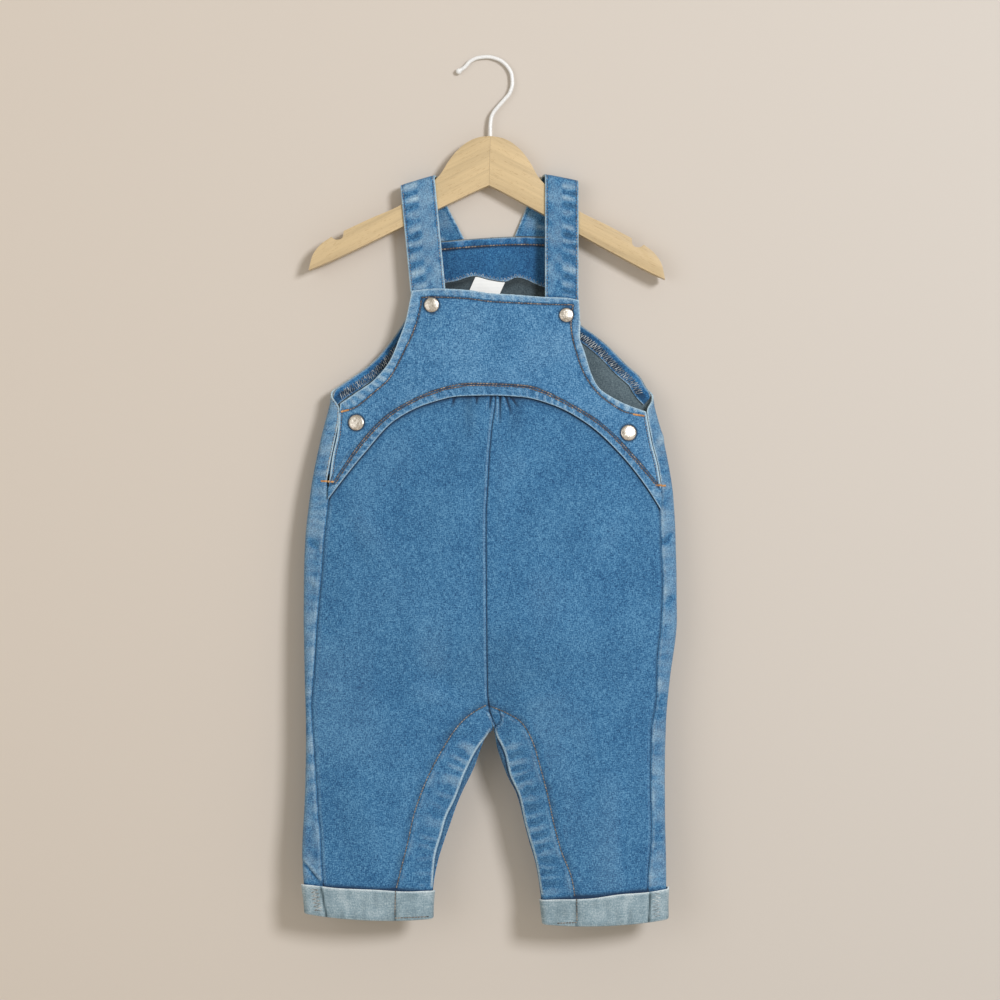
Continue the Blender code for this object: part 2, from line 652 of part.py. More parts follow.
def strap(side, top_x, top_z, tilt, lean, width, foot_z, drift):
    """Strap: a straight strip folded over the hanger on a tilted line."""
    sign = SIDES[side]
    tilt, lean = math.radians(tilt), math.radians(lean)
    along = np.array([-sign * math.cos(tilt), 0.0, math.sin(tilt)])
    up = np.array([sign * math.sin(tilt), 0.0, math.cos(tilt)])
    top = np.array([top_x, 0.0, top_z]) - up * STRAP_WALL / 2
    bend = STRAP_CORNER * math.pi / 2
    flat_y = STRAP_LAND + STRAP_CORNER
    over = STRAP_LAND + bend

    def place(across, q):
        """Point at a place across the strip and a distance round the fold, front first."""
        reach, way = abs(q), math.copysign(1.0, q)
        if reach <= STRAP_LAND:
            y, drop = reach, 0.0
        elif reach <= over:
            turn = (reach - STRAP_LAND) / STRAP_CORNER
            y = STRAP_LAND + STRAP_CORNER * math.sin(turn)
            drop = STRAP_CORNER * (1 - math.cos(turn))
        else:
            y, drop = flat_y, STRAP_CORNER + reach - over
        run = (q + across * math.sin(lean)) / math.cos(lean)
        shift = run * math.sin(lean) + across * math.cos(lean)
        aside = drift * ramp(q, over, over + STRAP_EASE)
        return top + along * shift - up * drop + np.array([aside, way * y, 0.0])

    def reach_for(across, height, way):
        """Distance round the fold at which the strip comes down to a height."""
        q = way * over
        for _ in range(12):
            point = place(across, q)
            q += way * (point[2] - height(point[0]))
        return q

    def foot(across):
        return -(top_z - foot_z) + across * math.sin(lean) * 0.5

    fold_rows = [-over + bend * t for t in (0, 0.25, 0.5, 0.75, 1)]
    fold_rows += [-q for q in fold_rows[::-1]]
    points = []
    behind_bib = DENIM + GAP + (STRAP_WALL - DENIM) / 2
    for t in np.linspace(0, 1, 9)[:-1]:
        row = []
        for across in (-width / 2, 0.0, width / 2):
            end = foot(across)
            point = place(across, end + (fold_rows[0] - end) * t)
            bib = front_point(point[0], point[2])[1] + behind_bib
            point[1] += (bib - point[1]) * ramp(point[2], *STRAP_TO_BIB)
            row.append(point)
        points.append(row)
    for q in fold_rows:
        points.append([place(across, q) for across in (-width / 2, 0.0, width / 2)])
    for t in (0.25, 0.5, 0.75, 1.0):
        row = []
        for across in (-width / 2, 0.0, width / 2):
            end = reach_for(across, lambda x: float(back_top(x)) + GAP, 1.0)
            point = place(across, fold_rows[-1] + (end - fold_rows[-1]) * t)
            back = back_point(point[0], point[2])[1]
            point[1] += (back - point[1]) * ramp(point[2], *STRAP_TO_BACK)
            row.append(point)
        points.append(row)
    return wall("strap_" + side, points, STRAP_WALL, DENIM_BLUE)


def snap_cap(name, x, z, radius):
    """Domed cap, seated on the bib."""
    seat = front_point(x, z)
    step = 1.0
    across = front_point(x + step, z) - front_point(x - step, z)
    down = front_point(x, z - step) - front_point(x, z + step)
    normal = np.cross(down, across)
    normal /= np.linalg.norm(normal)
    side_axis = across / np.linalg.norm(across)
    up_axis = np.cross(side_axis, normal)
    base = seat + normal * (DENIM / 2 + GAP)
    sides = SNAP_SIDES
    vertices = []
    for wide, high in SNAP_PROFILE:
        for i in range(sides):
            angle = 2 * math.pi * i / sides
            spoke = side_axis * math.cos(angle) + up_axis * math.sin(angle)
            vertices.append(base + spoke * radius * wide + normal * SNAP_HEIGHT * high)
    vertices += [base, base + normal * SNAP_HEIGHT]
    middle, crown = len(vertices) - 2, len(vertices) - 1
    faces = []
    for ring in range(len(SNAP_PROFILE) - 1):
        for i in range(sides):
            a, b = ring * sides + i, ring * sides + (i + 1) % sides
            faces.append((a, b, b + sides, a + sides))
    last = (len(SNAP_PROFILE) - 1) * sides
    for i in range(sides):
        follow = (i + 1) % sides
        faces += [(follow, i, middle), (last + i, last + follow, crown)]
    return solid(name, vertices, faces, NICKEL, 0.3, 1.0)


def neck_label():
    """Blank label that hangs from the neck facing's lower edge."""
    points = []
    for drop in (0.0, 0.5, 1.0):
        row = []
        for across in (0.0, 0.33, 0.67, 1.0):
            x = LABEL_LEFT + (LABEL_RIGHT - LABEL_LEFT) * across
            z = float(facing_foot(x)) - 2 * GAP
            y = back_point(x, z)[1] + INSIDE
            down = drop * LABEL_HEIGHT
            row.append((x + LABEL_SLANT * down, y - LABEL_LEAN * down, z - down))
        points.append(row)
    return wall("neck_label", points, LABEL_WALL, LABEL_WHITE)


# ---------------------------------------------------------------- hanger

def hang(x, z):
    """Hanger's own frame to the part's."""
    turn = math.radians(HANGER_TURN)
    return (HANGER_APEX[0] + x * math.cos(turn) - z * math.sin(turn),
            HANGER_APEX[1] + x * math.sin(turn) + z * math.cos(turn))


def hanger_arm(side):
    """Flat wooden arm with rounded long edges, cut square where the arms meet."""
    outline = ARM_TOP + ARM_NOTCH + ARM_END + ARM_FOOT
    edge = [hang(SIDES[side] * max(x, GAP / 2), z) for x, z in outline]
    count = len(edge)
    half = HANGER_THICK / 2
    vertices = [(x, -half, z) for x, z in edge] + [(x, half, z) for x, z in edge]
    faces = [tuple(range(count)), tuple(range(2 * count - 1, count - 1, -1))]
    for i in range(count):
        j = (i + 1) % count
        faces.append((j, i, i + count, j + count))
    arm = solid("hanger_arm_" + side, vertices, faces, WOOD, 0.5)
    weights = arm.data.attributes.new("bevel_weight_edge", "FLOAT", "EDGE")
    for edge_index, item in enumerate(arm.data.edges):
        a, b = item.vertices
        long_edge = (a < count) == (b < count)
        mitre = {a % count, b % count} == {0, count - 1}
        weights.data[edge_index].value = 1.0 if long_edge and not mitre else 0.0
    bevel = arm.modifiers.new("rounded", "BEVEL")
    bevel.limit_method = "WEIGHT"
    bevel.width = HANGER_ROUND * MM
    bevel.segments = 2
    bevel.use_clamp_overlap = True
    cut = arm.modifiers.new("bore", "BOOLEAN")
    cut.operation = "DIFFERENCE"
    cut.object = bpy.data.objects["hook_bore_cutter"]
    return arm


def hook_bore_cutter():
    """Hole for the hook's foot, on the line where the arms meet."""
    top_x, top_z = hang(0.0, HOOK_BORE_ABOVE)
    foot_x, foot_z = hang(0.0, -HOOK_BORE_DEPTH)
    bpy.ops.mesh.primitive_cylinder_add(
        vertices=16,
        radius=(WIRE + BORE_CLEARANCE) * MM,
        depth=(HOOK_BORE_DEPTH + HOOK_BORE_ABOVE) * MM,
        location=((top_x + foot_x) / 2 * MM, 0.0, (top_z + foot_z) / 2 * MM),
        rotation=(0.0, math.radians(-HANGER_TURN), 0.0))
    cutter = bpy.context.object
    cutter.name = "hook_bore_cutter"
    cutter.hide_render = True
    cutter.display_type = "WIRE"


def hanger_hook():
    """Bent wire with a ball at its tip, its foot set in the arms."""
    path = route(HOOK_ROUTE)
    length = sum(math.dist(a, b) for a, b in zip(HOOK_ROUTE, HOOK_ROUTE[1:]))
    start, step = path(0.0), 1e-3
    back = (path(step) - start) / np.linalg.norm(path(step) - start)
    rings = []
    for angle in (160, 125, 90, 60):
        away = TIP_BALL * math.cos(math.radians(angle))
        rings.append((start + back * away, TIP_BALL * math.sin(math.radians(angle)), back))
    first = TIP_BALL * math.sqrt(1 - (WIRE / TIP_BALL) ** 2) / length
    for t in np.linspace(first, 1.0, HOOK_RINGS):
        ahead = path(min(t + step, 1.0)) - path(max(t - step, 0.0))
        rings.append((path(t), WIRE, ahead / np.linalg.norm(ahead)))
    sides = HOOK_SIDES
    vertices = []
    for (x, z), radius, (tx, tz) in rings:
        for i in range(sides):
            angle = 2 * math.pi * i / sides
            across, out = radius * math.cos(angle), radius * math.sin(angle)
            vertices.append((x - tz * across, out, z + tx * across))
    faces = []
    for ring in range(len(rings) - 1):
        for i in range(sides):
            a, b = ring * sides + i, ring * sides + (i + 1) % sides
            faces.append((a, b, b + sides, a + sides))
    last = (len(rings) - 1) * sides
    faces += [tuple(range(sides - 1, -1, -1)), tuple(range(last, last + sides))]
    return solid("hanger_hook", vertices, faces, WIRE_WHITE, 0.35)


# ---------------------------------------------------------------- the whole part

def main():
    for obj in list(bpy.data.objects):
        bpy.data.objects.remove(obj)
    hook_bore_cutter()
    hanger_hook()
    for side in SIDES:
        hanger_arm(side)
        front_leg(side)
        back_panel(side)
        armhole_facing(side)
        side_underlap(side)
        cuff(side)
    front_bib()
    neck_facing()
    neck_label()
    for row in STRAPS:
        strap(*row)
    for row in SNAPS:
        snap_cap(*row)


main()
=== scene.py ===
"""Kids' denim dungarees on a wooden hanger: cloth shells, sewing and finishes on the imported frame.

Tables and sizes are in millimetres, and meshes are written in metres. The front faces -Y.
The cloth's middle surface is the one that the solids follow; here it also gets its creases,
puckers and hems. u is the distance along the cloth from a side fold, positive on the front.
"""

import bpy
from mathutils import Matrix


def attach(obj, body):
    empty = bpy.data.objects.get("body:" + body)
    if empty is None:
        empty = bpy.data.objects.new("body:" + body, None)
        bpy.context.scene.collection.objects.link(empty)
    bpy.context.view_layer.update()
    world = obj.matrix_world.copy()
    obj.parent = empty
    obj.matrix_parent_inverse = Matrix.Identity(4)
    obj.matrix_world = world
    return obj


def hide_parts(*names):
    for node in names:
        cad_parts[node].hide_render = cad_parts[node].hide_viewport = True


bl_info = {
    "name": "Kids' Denim Dungarees",
    "version": (1, 0, 0),
    "blender": (4, 5, 0),
    "location": "View3D > Sidebar > Dungarees",
    "description": "Models washed denim dungarees and their hanger around the packed frame",
    "category": "Object",
}

import math

import bpy
import numpy as np
from mathutils import Vector, kdtree

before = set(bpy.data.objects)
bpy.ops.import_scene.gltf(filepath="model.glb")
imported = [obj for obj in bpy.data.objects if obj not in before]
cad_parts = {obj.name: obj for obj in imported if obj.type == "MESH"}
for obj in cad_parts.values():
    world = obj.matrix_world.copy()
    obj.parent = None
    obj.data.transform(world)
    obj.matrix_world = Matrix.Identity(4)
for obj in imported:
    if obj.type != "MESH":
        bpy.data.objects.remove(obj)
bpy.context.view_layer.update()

MM = 0.001
WALL_LEAN = 3.4          # in degrees; the wall's foot lies farther behind the garment
WALL_AT = (11.5, -160.0)  # depth and height of a point on the wall, behind the straps

# ---------------------------------------------------------------- sizes shared with the solids

# Walls of the cloth
DENIM = 1.4
FACING = 1.2
CUFF_WALL = 1.8
STRAP_WALL = 2.2
LABEL_WALL = 0.5
GAP = 0.3                # between two pieces
FOLD = 3.5               # radius of the side folds
QUARTER = FOLD * math.pi / 2
# Lift of a layer that lies on the cloth, and of a facing inside it
ON_TOP = DENIM + GAP
INSIDE = -(DENIM / 2 + GAP + FACING / 2)

# Fold lines of the tube:  z, left x, right x
OUTLINE = [
    (-152.5, -119.7, 128.8), (-194.7, -124.0, 133.1), (-236.8, -127.3, 137.3),
    (-287.4, -132.4, 140.6), (-321.1, -140.8, 149.1), (-371.6, -150.1, 157.5),
    (-422.2, -154.3, 159.6), (-472.8, -154.3, 159.6), (-523.3, -153.9, 154.1),
    (-565.5, -153.0, 150.8), (-616.0, -153.5, 149.9), (-666.6, -156.0, 150.8),
    (-729.8, -151.9, 151.6),
]
# Depth of the body:  z, plane of the side folds y, swell of the front, swell of the back
BODY_DEPTH = [
    (-150.0, -0.5, 6.0, 5.4), (-200.0, -0.2, 6.9, 6.0), (-290.0, 1.0, 12.0, 7.0),
    (-370.0, 2.0, 17.0, 8.0), (-470.0, 3.0, 19.0, 8.0), (-565.0, 4.0, 13.0, 7.0),
    (-730.0, 5.0, 6.0, 5.0),
]
# Depth of a leg:  z, swell of the front, swell of the back
LEG_DEPTH = [(-470.0, 10.0, 5.0), (-565.0, 9.0, 5.0), (-620.0, 8.0, 5.0), (-730.0, 5.0, 4.0)]
# Centre front and centre back seam:  z, x
CENTRE = [
    (-150.0, 4.1), (-286.5, 7.1), (-310.1, 4.1), (-333.7, 2.0), (-364.9, 0.3), (-388.5, -0.9),
    (-455.9, -0.5), (-531.7, 0.3), (-545.2, 1.4), (-552.8, 3.3), (-564.6, 5.4),
]
CROTCH = -564.6
# Inseams:  z, left leg x, right leg x
INSEAM = [
    (-564.6, 5.4, 5.4), (-570.0, 0.0, 6.6), (-578.9, -4.2, 7.8), (-594.9, -9.7, 12.9),
    (-606.0, -14.6, 17.2), (-618.5, -20.6, 23.7), (-632.9, -26.6, 28.3), (-645.0, -30.8, 31.2),
    (-658.1, -35.4, 34.6), (-676.7, -41.4, 40.4), (-695.2, -45.0, 43.9), (-708.7, -46.2, 45.6),
    (-731.5, -46.9, 48.2),
]
# Edge of the back panels down the armhole, over the fold and down the side seam:
#  z, inward distance from the fold (negative on the front)
BACK_EDGE_LEFT = [
    (-153.4, 62.2), (-214.9, 57.2), (-228.4, 50.7), (-243.5, 40.9), (-256.5, 30.0),
    (-268.0, 15.2), (-277.2, 2.8), (-284.8, -1.0), (-295.4, -9.3), (-316.9, -12.2),
    (-354.8, -12.3), (-371.6, -16.3), (-422.2, -15.2), (-465.2, -11.4), (-519.1, -7.2),
    (-546.1, -4.6), (-583.1, -6.7), (-624.4, -10.1), (-666.6, -15.7), (-729.8, -16.6),
]
BACK_EDGE_RIGHT = [
    (-150.0, 69.9), (-221.6, 57.3), (-231.7, 45.5), (-242.3, 33.7), (-256.5, 20.6),
    (-268.0, 8.8), (-277.2, 3.9), (-287.4, -1.0), (-297.5, -7.6), (-323.6, -9.9),
    (-343.0, -9.0), (-357.3, -9.0), (-380.1, -11.7), (-410.4, -12.3), (-440.7, -11.0),
    (-493.8, -12.9), (-538.5, -9.3), (-566.3, -11.5), (-601.7, -11.3), (-643.0, -11.0),
    (-699.5, -15.2), (-729.8, -15.6),
]
BACK_TOP = [(-53.2, -153.8), (-37.2, -153.1), (-19.5, -151.4), (27.7, -149.0), (58.9, -150.0)]
# Outer edge of the bib and yoke, as five runs from one side seam to the other:  x, z
SIDE_LEFT = [(-132.6, -358.0), (-129.6, -335.0), (-125.6, -316.0), (-124.0, -299.2),
             (-123.1, -290.7)]
ARMHOLE_LEFT = [(-123.1, -290.7), (-108.8, -281.0), (-95.7, -271.9), (-81.6, -255.2),
                (-73.8, -237.1), (-67.5, -219.1), (-65.0, -206.5), (-62.9, -196.2)]
BIB_TOP = [(-62.9, -196.2), (-43.1, -194.5), (-16.9, -195.7), (4.1, -198.6), (23.5, -199.7),
           (49.3, -201.6), (67.0, -202.2), (77.0, -204.0)]
ARMHOLE_RIGHT = [(77.0, -204.0), (77.9, -220.4), (77.2, -233.4), (81.7, -247.5),
                 (86.9, -264.6), (93.4, -277.2), (103.6, -284.8), (116.5, -291.3),
                 (133.5, -297.5)]
SIDE_RIGHT = [(133.5, -297.5), (138.3, -323.6), (143.2, -343.0), (146.2, -361.0)]
# Lower edge of the yoke, an arch over the belly:  x, z
ARCH = [
    (-132.9, -370.7), (-122.5, -357.0), (-102.1, -332.0), (-77.6, -305.5), (-49.8, -291.2),
    (-22.0, -284.8), (2.4, -284.2), (29.0, -285.5), (55.5, -292.4), (84.2, -308.1),
    (112.8, -334.6), (134.0, -361.5), (145.6, -379.6),
]
ARCH_STATIONS = [0.0, 0.135, 0.32, 0.665, 0.875, 1.0]
LAP = 8.0                # of the yoke over the leg panels
# Small gathers under the arch:  x, depth, length below the arch, lean to the right going down
GATHERS = [
    (-27.3, 1.2, 9.0, -0.20), (-8.8, 1.2, 8.0, 0.05), (3.5, 1.0, 13.0, -0.12),
    (10.9, 1.6, 24.0, 0.0), (15.6, 1.5, 15.0, 0.32), (19.6, 1.3, 9.0, 0.75),
]
GATHER_WIDTH = 1.3
# Cuffs:  leg, top edge z at the side and at the inseam, bottom edge z at the side and inseam
CUFFS = {"left": (-695.8, -701.0, -720.5, -724.6), "right": (-698.6, -707.9, -725.1, -729.4)}
CUFF_DIP = 2.5
NECK_FACING_FOOT = [(-58.0, -191.0), (-28.7, -187.1), (-10.2, -182.5), (2.4, -185.4),
                    (15.1, -187.1), (25.2, -183.7), (47.1, -191.3), (62.0, -194.0)]
ARMHOLE_FACING = 12.5
# Straps:  top middle x, z, tilt of the fold line, half the angle between the legs, width,
#          foot z, sideways drift of the leg behind
STRAPS = {
    "left": (-57.8, -102.2, 16.5, 11.0, 29.4, -229.0, -4.5),
    "right": (61.9, -99.9, 11.0, 11.0, 28.2, -237.0, -2.7),
}
STRAP_EASE = 20.0        # length over which the leg behind drifts aside
STRAP_CORNER = 4.4       # radius of the bend over each edge of the hanger
STRAP_LAND = 3.0         # half of the flat on top of it
STRAP_OVER = STRAP_LAND + STRAP_CORNER * math.pi / 2
STRAP_BAND = 11.6        # from one cross band of the strap's wear to the next
STRAP_WEAR = {"left": 0.27, "right": 0.12, "behind": 0.15}
# Heights between which a strap comes to lie behind the bib and on the back
BIB_LANDING = (-135.0, -192.0)
BACK_LANDING = (-120.0, -149.0)
STRAP_AT_BIB = -203.0    # where a strap goes behind the bib's top edge
UNDERLAP_TOP, UNDERLAP_FOOT = -300.0, -350.0
UNDERLAP_BEHIND, UNDERLAP_BEYOND = 5.0, 21.0   # reach under the back's edge and under the yoke
UNDERLAP_FROM_FOLD = 7.0
CUFF_MIDDLE = -712.0
CUFF_SAG = {"left": 0.0, "right": 1.2}
# Snap caps:  x, z, radius
SNAPS = {
    "snap_bib_left": (-46.4, -208.1, 6.3), "snap_bib_right": (66.5, -216.6, 6.0),
    "snap_side_left": (-109.6, -306.7, 6.7), "snap_side_right": (118.7, -315.2, 6.7),
}
SNAP_HEIGHT = 2.2
LABEL_LEFT, LABEL_RIGHT = -9.9, 15.1
LABEL_SLANT, LABEL_LEAN, LABEL_HEIGHT = -0.45, 0.12, 20.0
HANGER_THICK = 12.0
HANGER_ROUND = 2.4       # radius of the arms' long edges
ARM_SLOPE = 27.0         # of the wood's grain, in degrees
MITRE_GAP = 0.06         # from the mitre line to each arm
NOTCH_FLOOR = -162.0
HANGER_APEX = (2.7, -65.9)
HANGER_TURN = -1.45
ARM_TOP = [
    (0.0, 0.0), (7.6, -0.8), (14.6, -3.1), (21.6, -7.4), (27.6, -12.9), (34.4, -21.9),
    (41.0, -33.0), (46.5, -39.0), (54.0, -45.6), (64.0, -52.8), (74.6, -60.3), (100.0, -72.3),
    (121.0, -82.8),
]
ARM_NOTCH = [(121.6, -87.6), (124.2, -90.0), (127.6, -90.3), (131.3, -88.0)]
ARM_END = [(140.6, -95.1), (146.8, -104.3), (149.8, -116.4)]
ARM_FOOT = [(139.0, -111.8), (110.0, -97.6), (80.5, -82.4), (27.3, -54.6), (7.5, -44.6),
            (0.0, -41.3)]
WIRE = 1.6
TIP_BALL = 2.5
HOOK_ROUTE = [
    (-23.9, -10.6), (-19.5, -7.6), (-13.6, -1.8), (-7.1, 0.9), (0.6, 1.6), (8.8, -0.3),
    (16.6, -5.9), (20.7, -13.5), (21.3, -20.6), (19.0, -28.9), (14.7, -34.2), (9.4, -40.2),
    (5.3, -45.5), (3.3, -50.8), (2.7, -57.9), (2.7, -66.1), (2.25, -84.0),
]

# ---------------------------------------------------------------- sewing and creases

ROW_SPACE = 0.95         # from the middle of the arch's double row to each row
TURN_STITCH = 2.2        # from a turned edge to its edge stitching
NECK_ROW = 6.8           # from the back's top edge to the row on its facing
TOP_ROW = 5.0            # from the back's top edge to the row behind
FREE_ROW = 5.6           # from the back's free edges to the row behind
VENT_ROW = 1.3           # from a vent's back edge to its row in front
# Row of stitches round the bib, from the left vent over the top to the right:  x, z
BIB_ROW_LEFT = [(-123.1, -297.8), (-111.3, -294.1), (-102.1, -287.4), (-93.2, -279.8),
                (-82.8, -270.5), (-75.1, -257.9), (-68.7, -244.9), (-62.4, -231.7),
                (-55.9, -209.8), (-54.9, -201.8)]
BIB_ROW_TOP = [(-54.9, -201.8), (-43.1, -201.4), (-16.9, -202.6), (4.1, -205.2),
               (23.5, -206.2), (49.3, -207.4), (72.3, -207.8)]
BIB_ROW_RIGHT = [(72.3, -207.8), (70.4, -224.2), (71.4, -233.4), (75.3, -248.6),
                 (79.1, -260.4), (84.2, -270.5), (93.5, -282.3), (104.9, -291.3),
                 (116.5, -297.8), (131.0, -300.8)]
# Middle of the double row above the arch:  x, z
ARCH_ROW = [(-128.2, -357.8), (-117.6, -341.8), (-108.8, -329.2), (-95.7, -313.7),
            (-81.8, -300.8), (-65.0, -290.4), (-48.1, -282.8), (-28.7, -277.0), (-11.9, -275.0),
            (13.4, -275.8), (32.8, -277.0), (47.9, -281.6), (63.7, -289.3), (84.2, -300.9),
            (99.8, -312.4), (115.4, -328.0), (129.4, -343.5), (143.7, -360.2)]
# Rows of stitches on the legs, from the crotch to the cuff:  x, z
INNER_LEG = {
    "left": [(-0.9, -544.4), (-7.7, -547.8), (-20.3, -557.0), (-30.4, -569.7), (-37.2, -580.6),
             (-45.6, -595.8), (-54.0, -614.3), (-62.4, -639.6), (-66.7, -659.8), (-72.1, -680.9),
             (-75.6, -695.2), (-76.9, -700.0)],
    "right": [(1.9, -545.0), (13.1, -549.2), (28.6, -558.3), (38.3, -574.7), (45.4, -598.7),
              (50.9, -619.4), (56.4, -644.7), (62.0, -665.7), (71.5, -691.0), (73.9, -706.0)],
}
# Front edge of the inner leg, folded over the back's strip:  x, z
INSEAM_EDGE = {
    "left": [(4.0, -562.0), (-0.5, -569.7), (-6.8, -578.1), (-11.9, -586.5), (-16.1, -595.0),
             (-19.9, -603.4), (-26.2, -620.3), (-30.0, -628.7), (-34.2, -637.1), (-39.1, -654.0),
             (-43.9, -670.8), (-46.6, -696.0)],
    "right": [(6.2, -561.0), (8.3, -569.7), (12.6, -578.1), (15.9, -586.5), (17.6, -595.0),
              (19.7, -603.4), (23.5, -611.8), (27.3, -620.3), (29.4, -628.7), (31.1, -637.1),
              (35.4, -654.0), (41.4, -675.0), (46.0, -702.0)],
}
# Two short pleats at the crotch:  x, z
PLEAT_LEFT = [(-0.3, -549.8), (2.8, -554.4), (5.6, -561.4)]
PLEAT_RIGHT = [(11.0, -548.8), (13.0, -554.0), (12.6, -558.5), (8.0, -562.8)]
# Rows on the cuffs, down and along the foot:  x, z
CUFF_ROW = {"left": [(-76.9, -699.4), (-77.6, -722.8), (-48.5, -722.2)],
            "right": [(75.3, -706.4), (75.6, -726.6), (50.2, -728.0)]}
# Serged side seam on a cuff:  middle x at the top, at the foot, seam x at the top, at the foot
CUFF_SERGE = {"left": (-145.4, -141.6, -139.1, -134.9), "right": (142.4, 142.4, 136.9, 135.8)}
# Bar tacks:  skin, x, z, length, angle in degrees
TACKS = [
    ("front_bib", -119.2, -296.6, 7.0, 14.0), ("front_bib", 127.6, -300.3, 10.0, -8.0),
    ("back_left", -136.8, -355.8, 5.5, -2.0), ("front_bib", -131.2, -356.2, 4.6, -4.0),
    ("back_right", 148.6, -359.6, 4.0, 4.0), ("front_bib", 143.9, -359.2, 5.6, 2.0),
]
TACK_HALF = 0.9
# Where the rows along the back's top edge take their points
NECK_X = np.linspace(-50.0, 55.0, 60)
# Creases of each sheet:  x and z of one end, x and z of the other, bow, width, height
CREASES = {
    "front": [
        (126.0, -396.0, 144.0, -415.0, 2.0, 3.0, -1.0), (120.0, -402.0, 143.0, -424.0, 3.0, 4.5, 0.8),
        (132.0, -452.0, 147.0, -462.0, -2.0, 3.0, -0.8), (128.0, -462.0, 147.0, -470.0, 2.0, 4.0, 0.5),
        (-6.5, -310.0, -6.0, -500.0, -3.0, 5.0, -1.0), (12.0, -330.0, 8.0, -470.0, 2.0, 6.0, 0.7),
        (-30.0, -300.0, -44.0, -370.0, 4.0, 7.0, -0.8), (-18.0, -300.0, -24.0, -352.0, 2.0, 5.0, 0.6),
        (24.0, -300.0, 36.0, -362.0, -4.0, 6.0, 0.8), (40.0, -304.0, 58.0, -360.0, -4.0, 7.0, -0.7),
        (-112.0, -372.0, -66.0, -418.0, -8.0, 9.0, 0.9), (-122.0, -392.0, -84.0, -440.0, -6.0, 9.0, -0.9),
        (118.0, -372.0, 70.0, -430.0, 8.0, 10.0, 0.9), (-14.0, -528.0, -62.0, -506.0, 5.0, 8.0, -1.1),
        (-18.0, -540.0, -70.0, -528.0, 4.0, 7.0, 0.9), (16.0, -530.0, 66.0, -502.0, -5.0, 8.0, -1.1),
        (22.0, -544.0, 74.0, -530.0, -4.0, 7.0, 0.9), (-110.0, -600.0, -92.0, -700.0, 5.0, 9.0, 1.0),
        (-126.0, -610.0, -112.0, -704.0, -4.0, 8.0, -1.0), (-70.0, -590.0, -96.0, -640.0, 5.0, 8.0, -0.8),
        (104.0, -590.0, 98.0, -702.0, 4.0, 10.0, 1.0), (122.0, -606.0, 118.0, -700.0, -4.0, 8.0, -0.9),
        (62.0, -560.0, 88.0, -640.0, 6.0, 9.0, -0.9), (-146.0, -470.0, -128.0, -486.0, 2.0, 4.0, -0.6),
        (-150.0, -520.0, -120.0, -536.0, 3.0, 5.0, 0.6),
    ],
    "strip_left": [
        (-156.0, -674.5, -136.0, -698.5, 0.0, 1.6, -0.9), (-156.0, -671.5, -136.0, -695.5, 0.0, 1.4, 0.7),
        (-152.0, -402.0, -138.0, -420.0, 1.0, 2.6, -0.6), (-150.0, -436.0, -139.0, -450.0, 1.0, 3.0, 0.6),
    ],
    "strip_right": [
        (158.0, -398.0, 146.0, -412.0, -1.0, 2.4, -0.7), (152.0, -312.0, 140.0, -330.0, 0.0, 3.0, 0.8),
        (158.0, -452.0, 147.0, -461.0, 0.0, 2.6, -0.7),
    ],
    "bib": [
        (-30.0, -212.0, -60.0, -262.0, -6.0, 9.0, 0.7), (44.0, -216.0, 66.0, -262.0, 5.0, 9.0, 0.7),
        (-20.0, -236.0, 48.0, -232.0, -5.0, 9.0, -0.6), (-96.0, -296.0, -64.0, -268.0, 4.0, 6.0, -0.6),
        (108.0, -306.0, 72.0, -274.0, -4.0, 6.0, -0.6),
    ],
    "back": [
        (-40.0, -190.0, -70.0, -262.0, -6.0, 9.0, 0.8), (46.0, -188.0, 70.0, -256.0, 6.0, 9.0, 0.8),
        (-6.0, -230.0, -10.0, -340.0, 3.0, 8.0, -0.8), (20.0, -240.0, 24.0, -350.0, -3.0, 9.0, 0.7),
        (-120.0, -310.0, -70.0, -350.0, -7.0, 9.0, 0.9), (126.0, -320.0, 78.0, -362.0, 7.0, 9.0, -0.8),
        (-14.0, -500.0, -80.0, -470.0, 7.0, 9.0, -1.1), (-16.0, -520.0, -96.0, -498.0, 6.0, 9.0, 1.0),
        (18.0, -498.0, 84.0, -472.0, -7.0, 9.0, -1.0), (22.0, -522.0, 98.0, -500.0, -6.0, 9.0, 1.0),
        (-20.0, -545.0, -90.0, -534.0, 4.0, 7.0, -0.8), (24.0, -548.0, 92.0, -538.0, -4.0, 7.0, -0.8),
        (-84.0, -596.0, -106.0, -690.0, 6.0, 9.0, 1.0), (-112.0, -586.0, -126.0, -680.0, -5.0, 8.0, -0.9),
        (78.0, -592.0, 98.0, -690.0, -6.0, 9.0, 1.0), (110.0, -590.0, 124.0, -684.0, 5.0, 8.0, -0.9),
        (-60.0, -400.0, -64.0, -470.0, 5.0, 11.0, 0.8), (62.0, -404.0, 58.0, -474.0, -5.0, 11.0, 0.8),
    ],
}

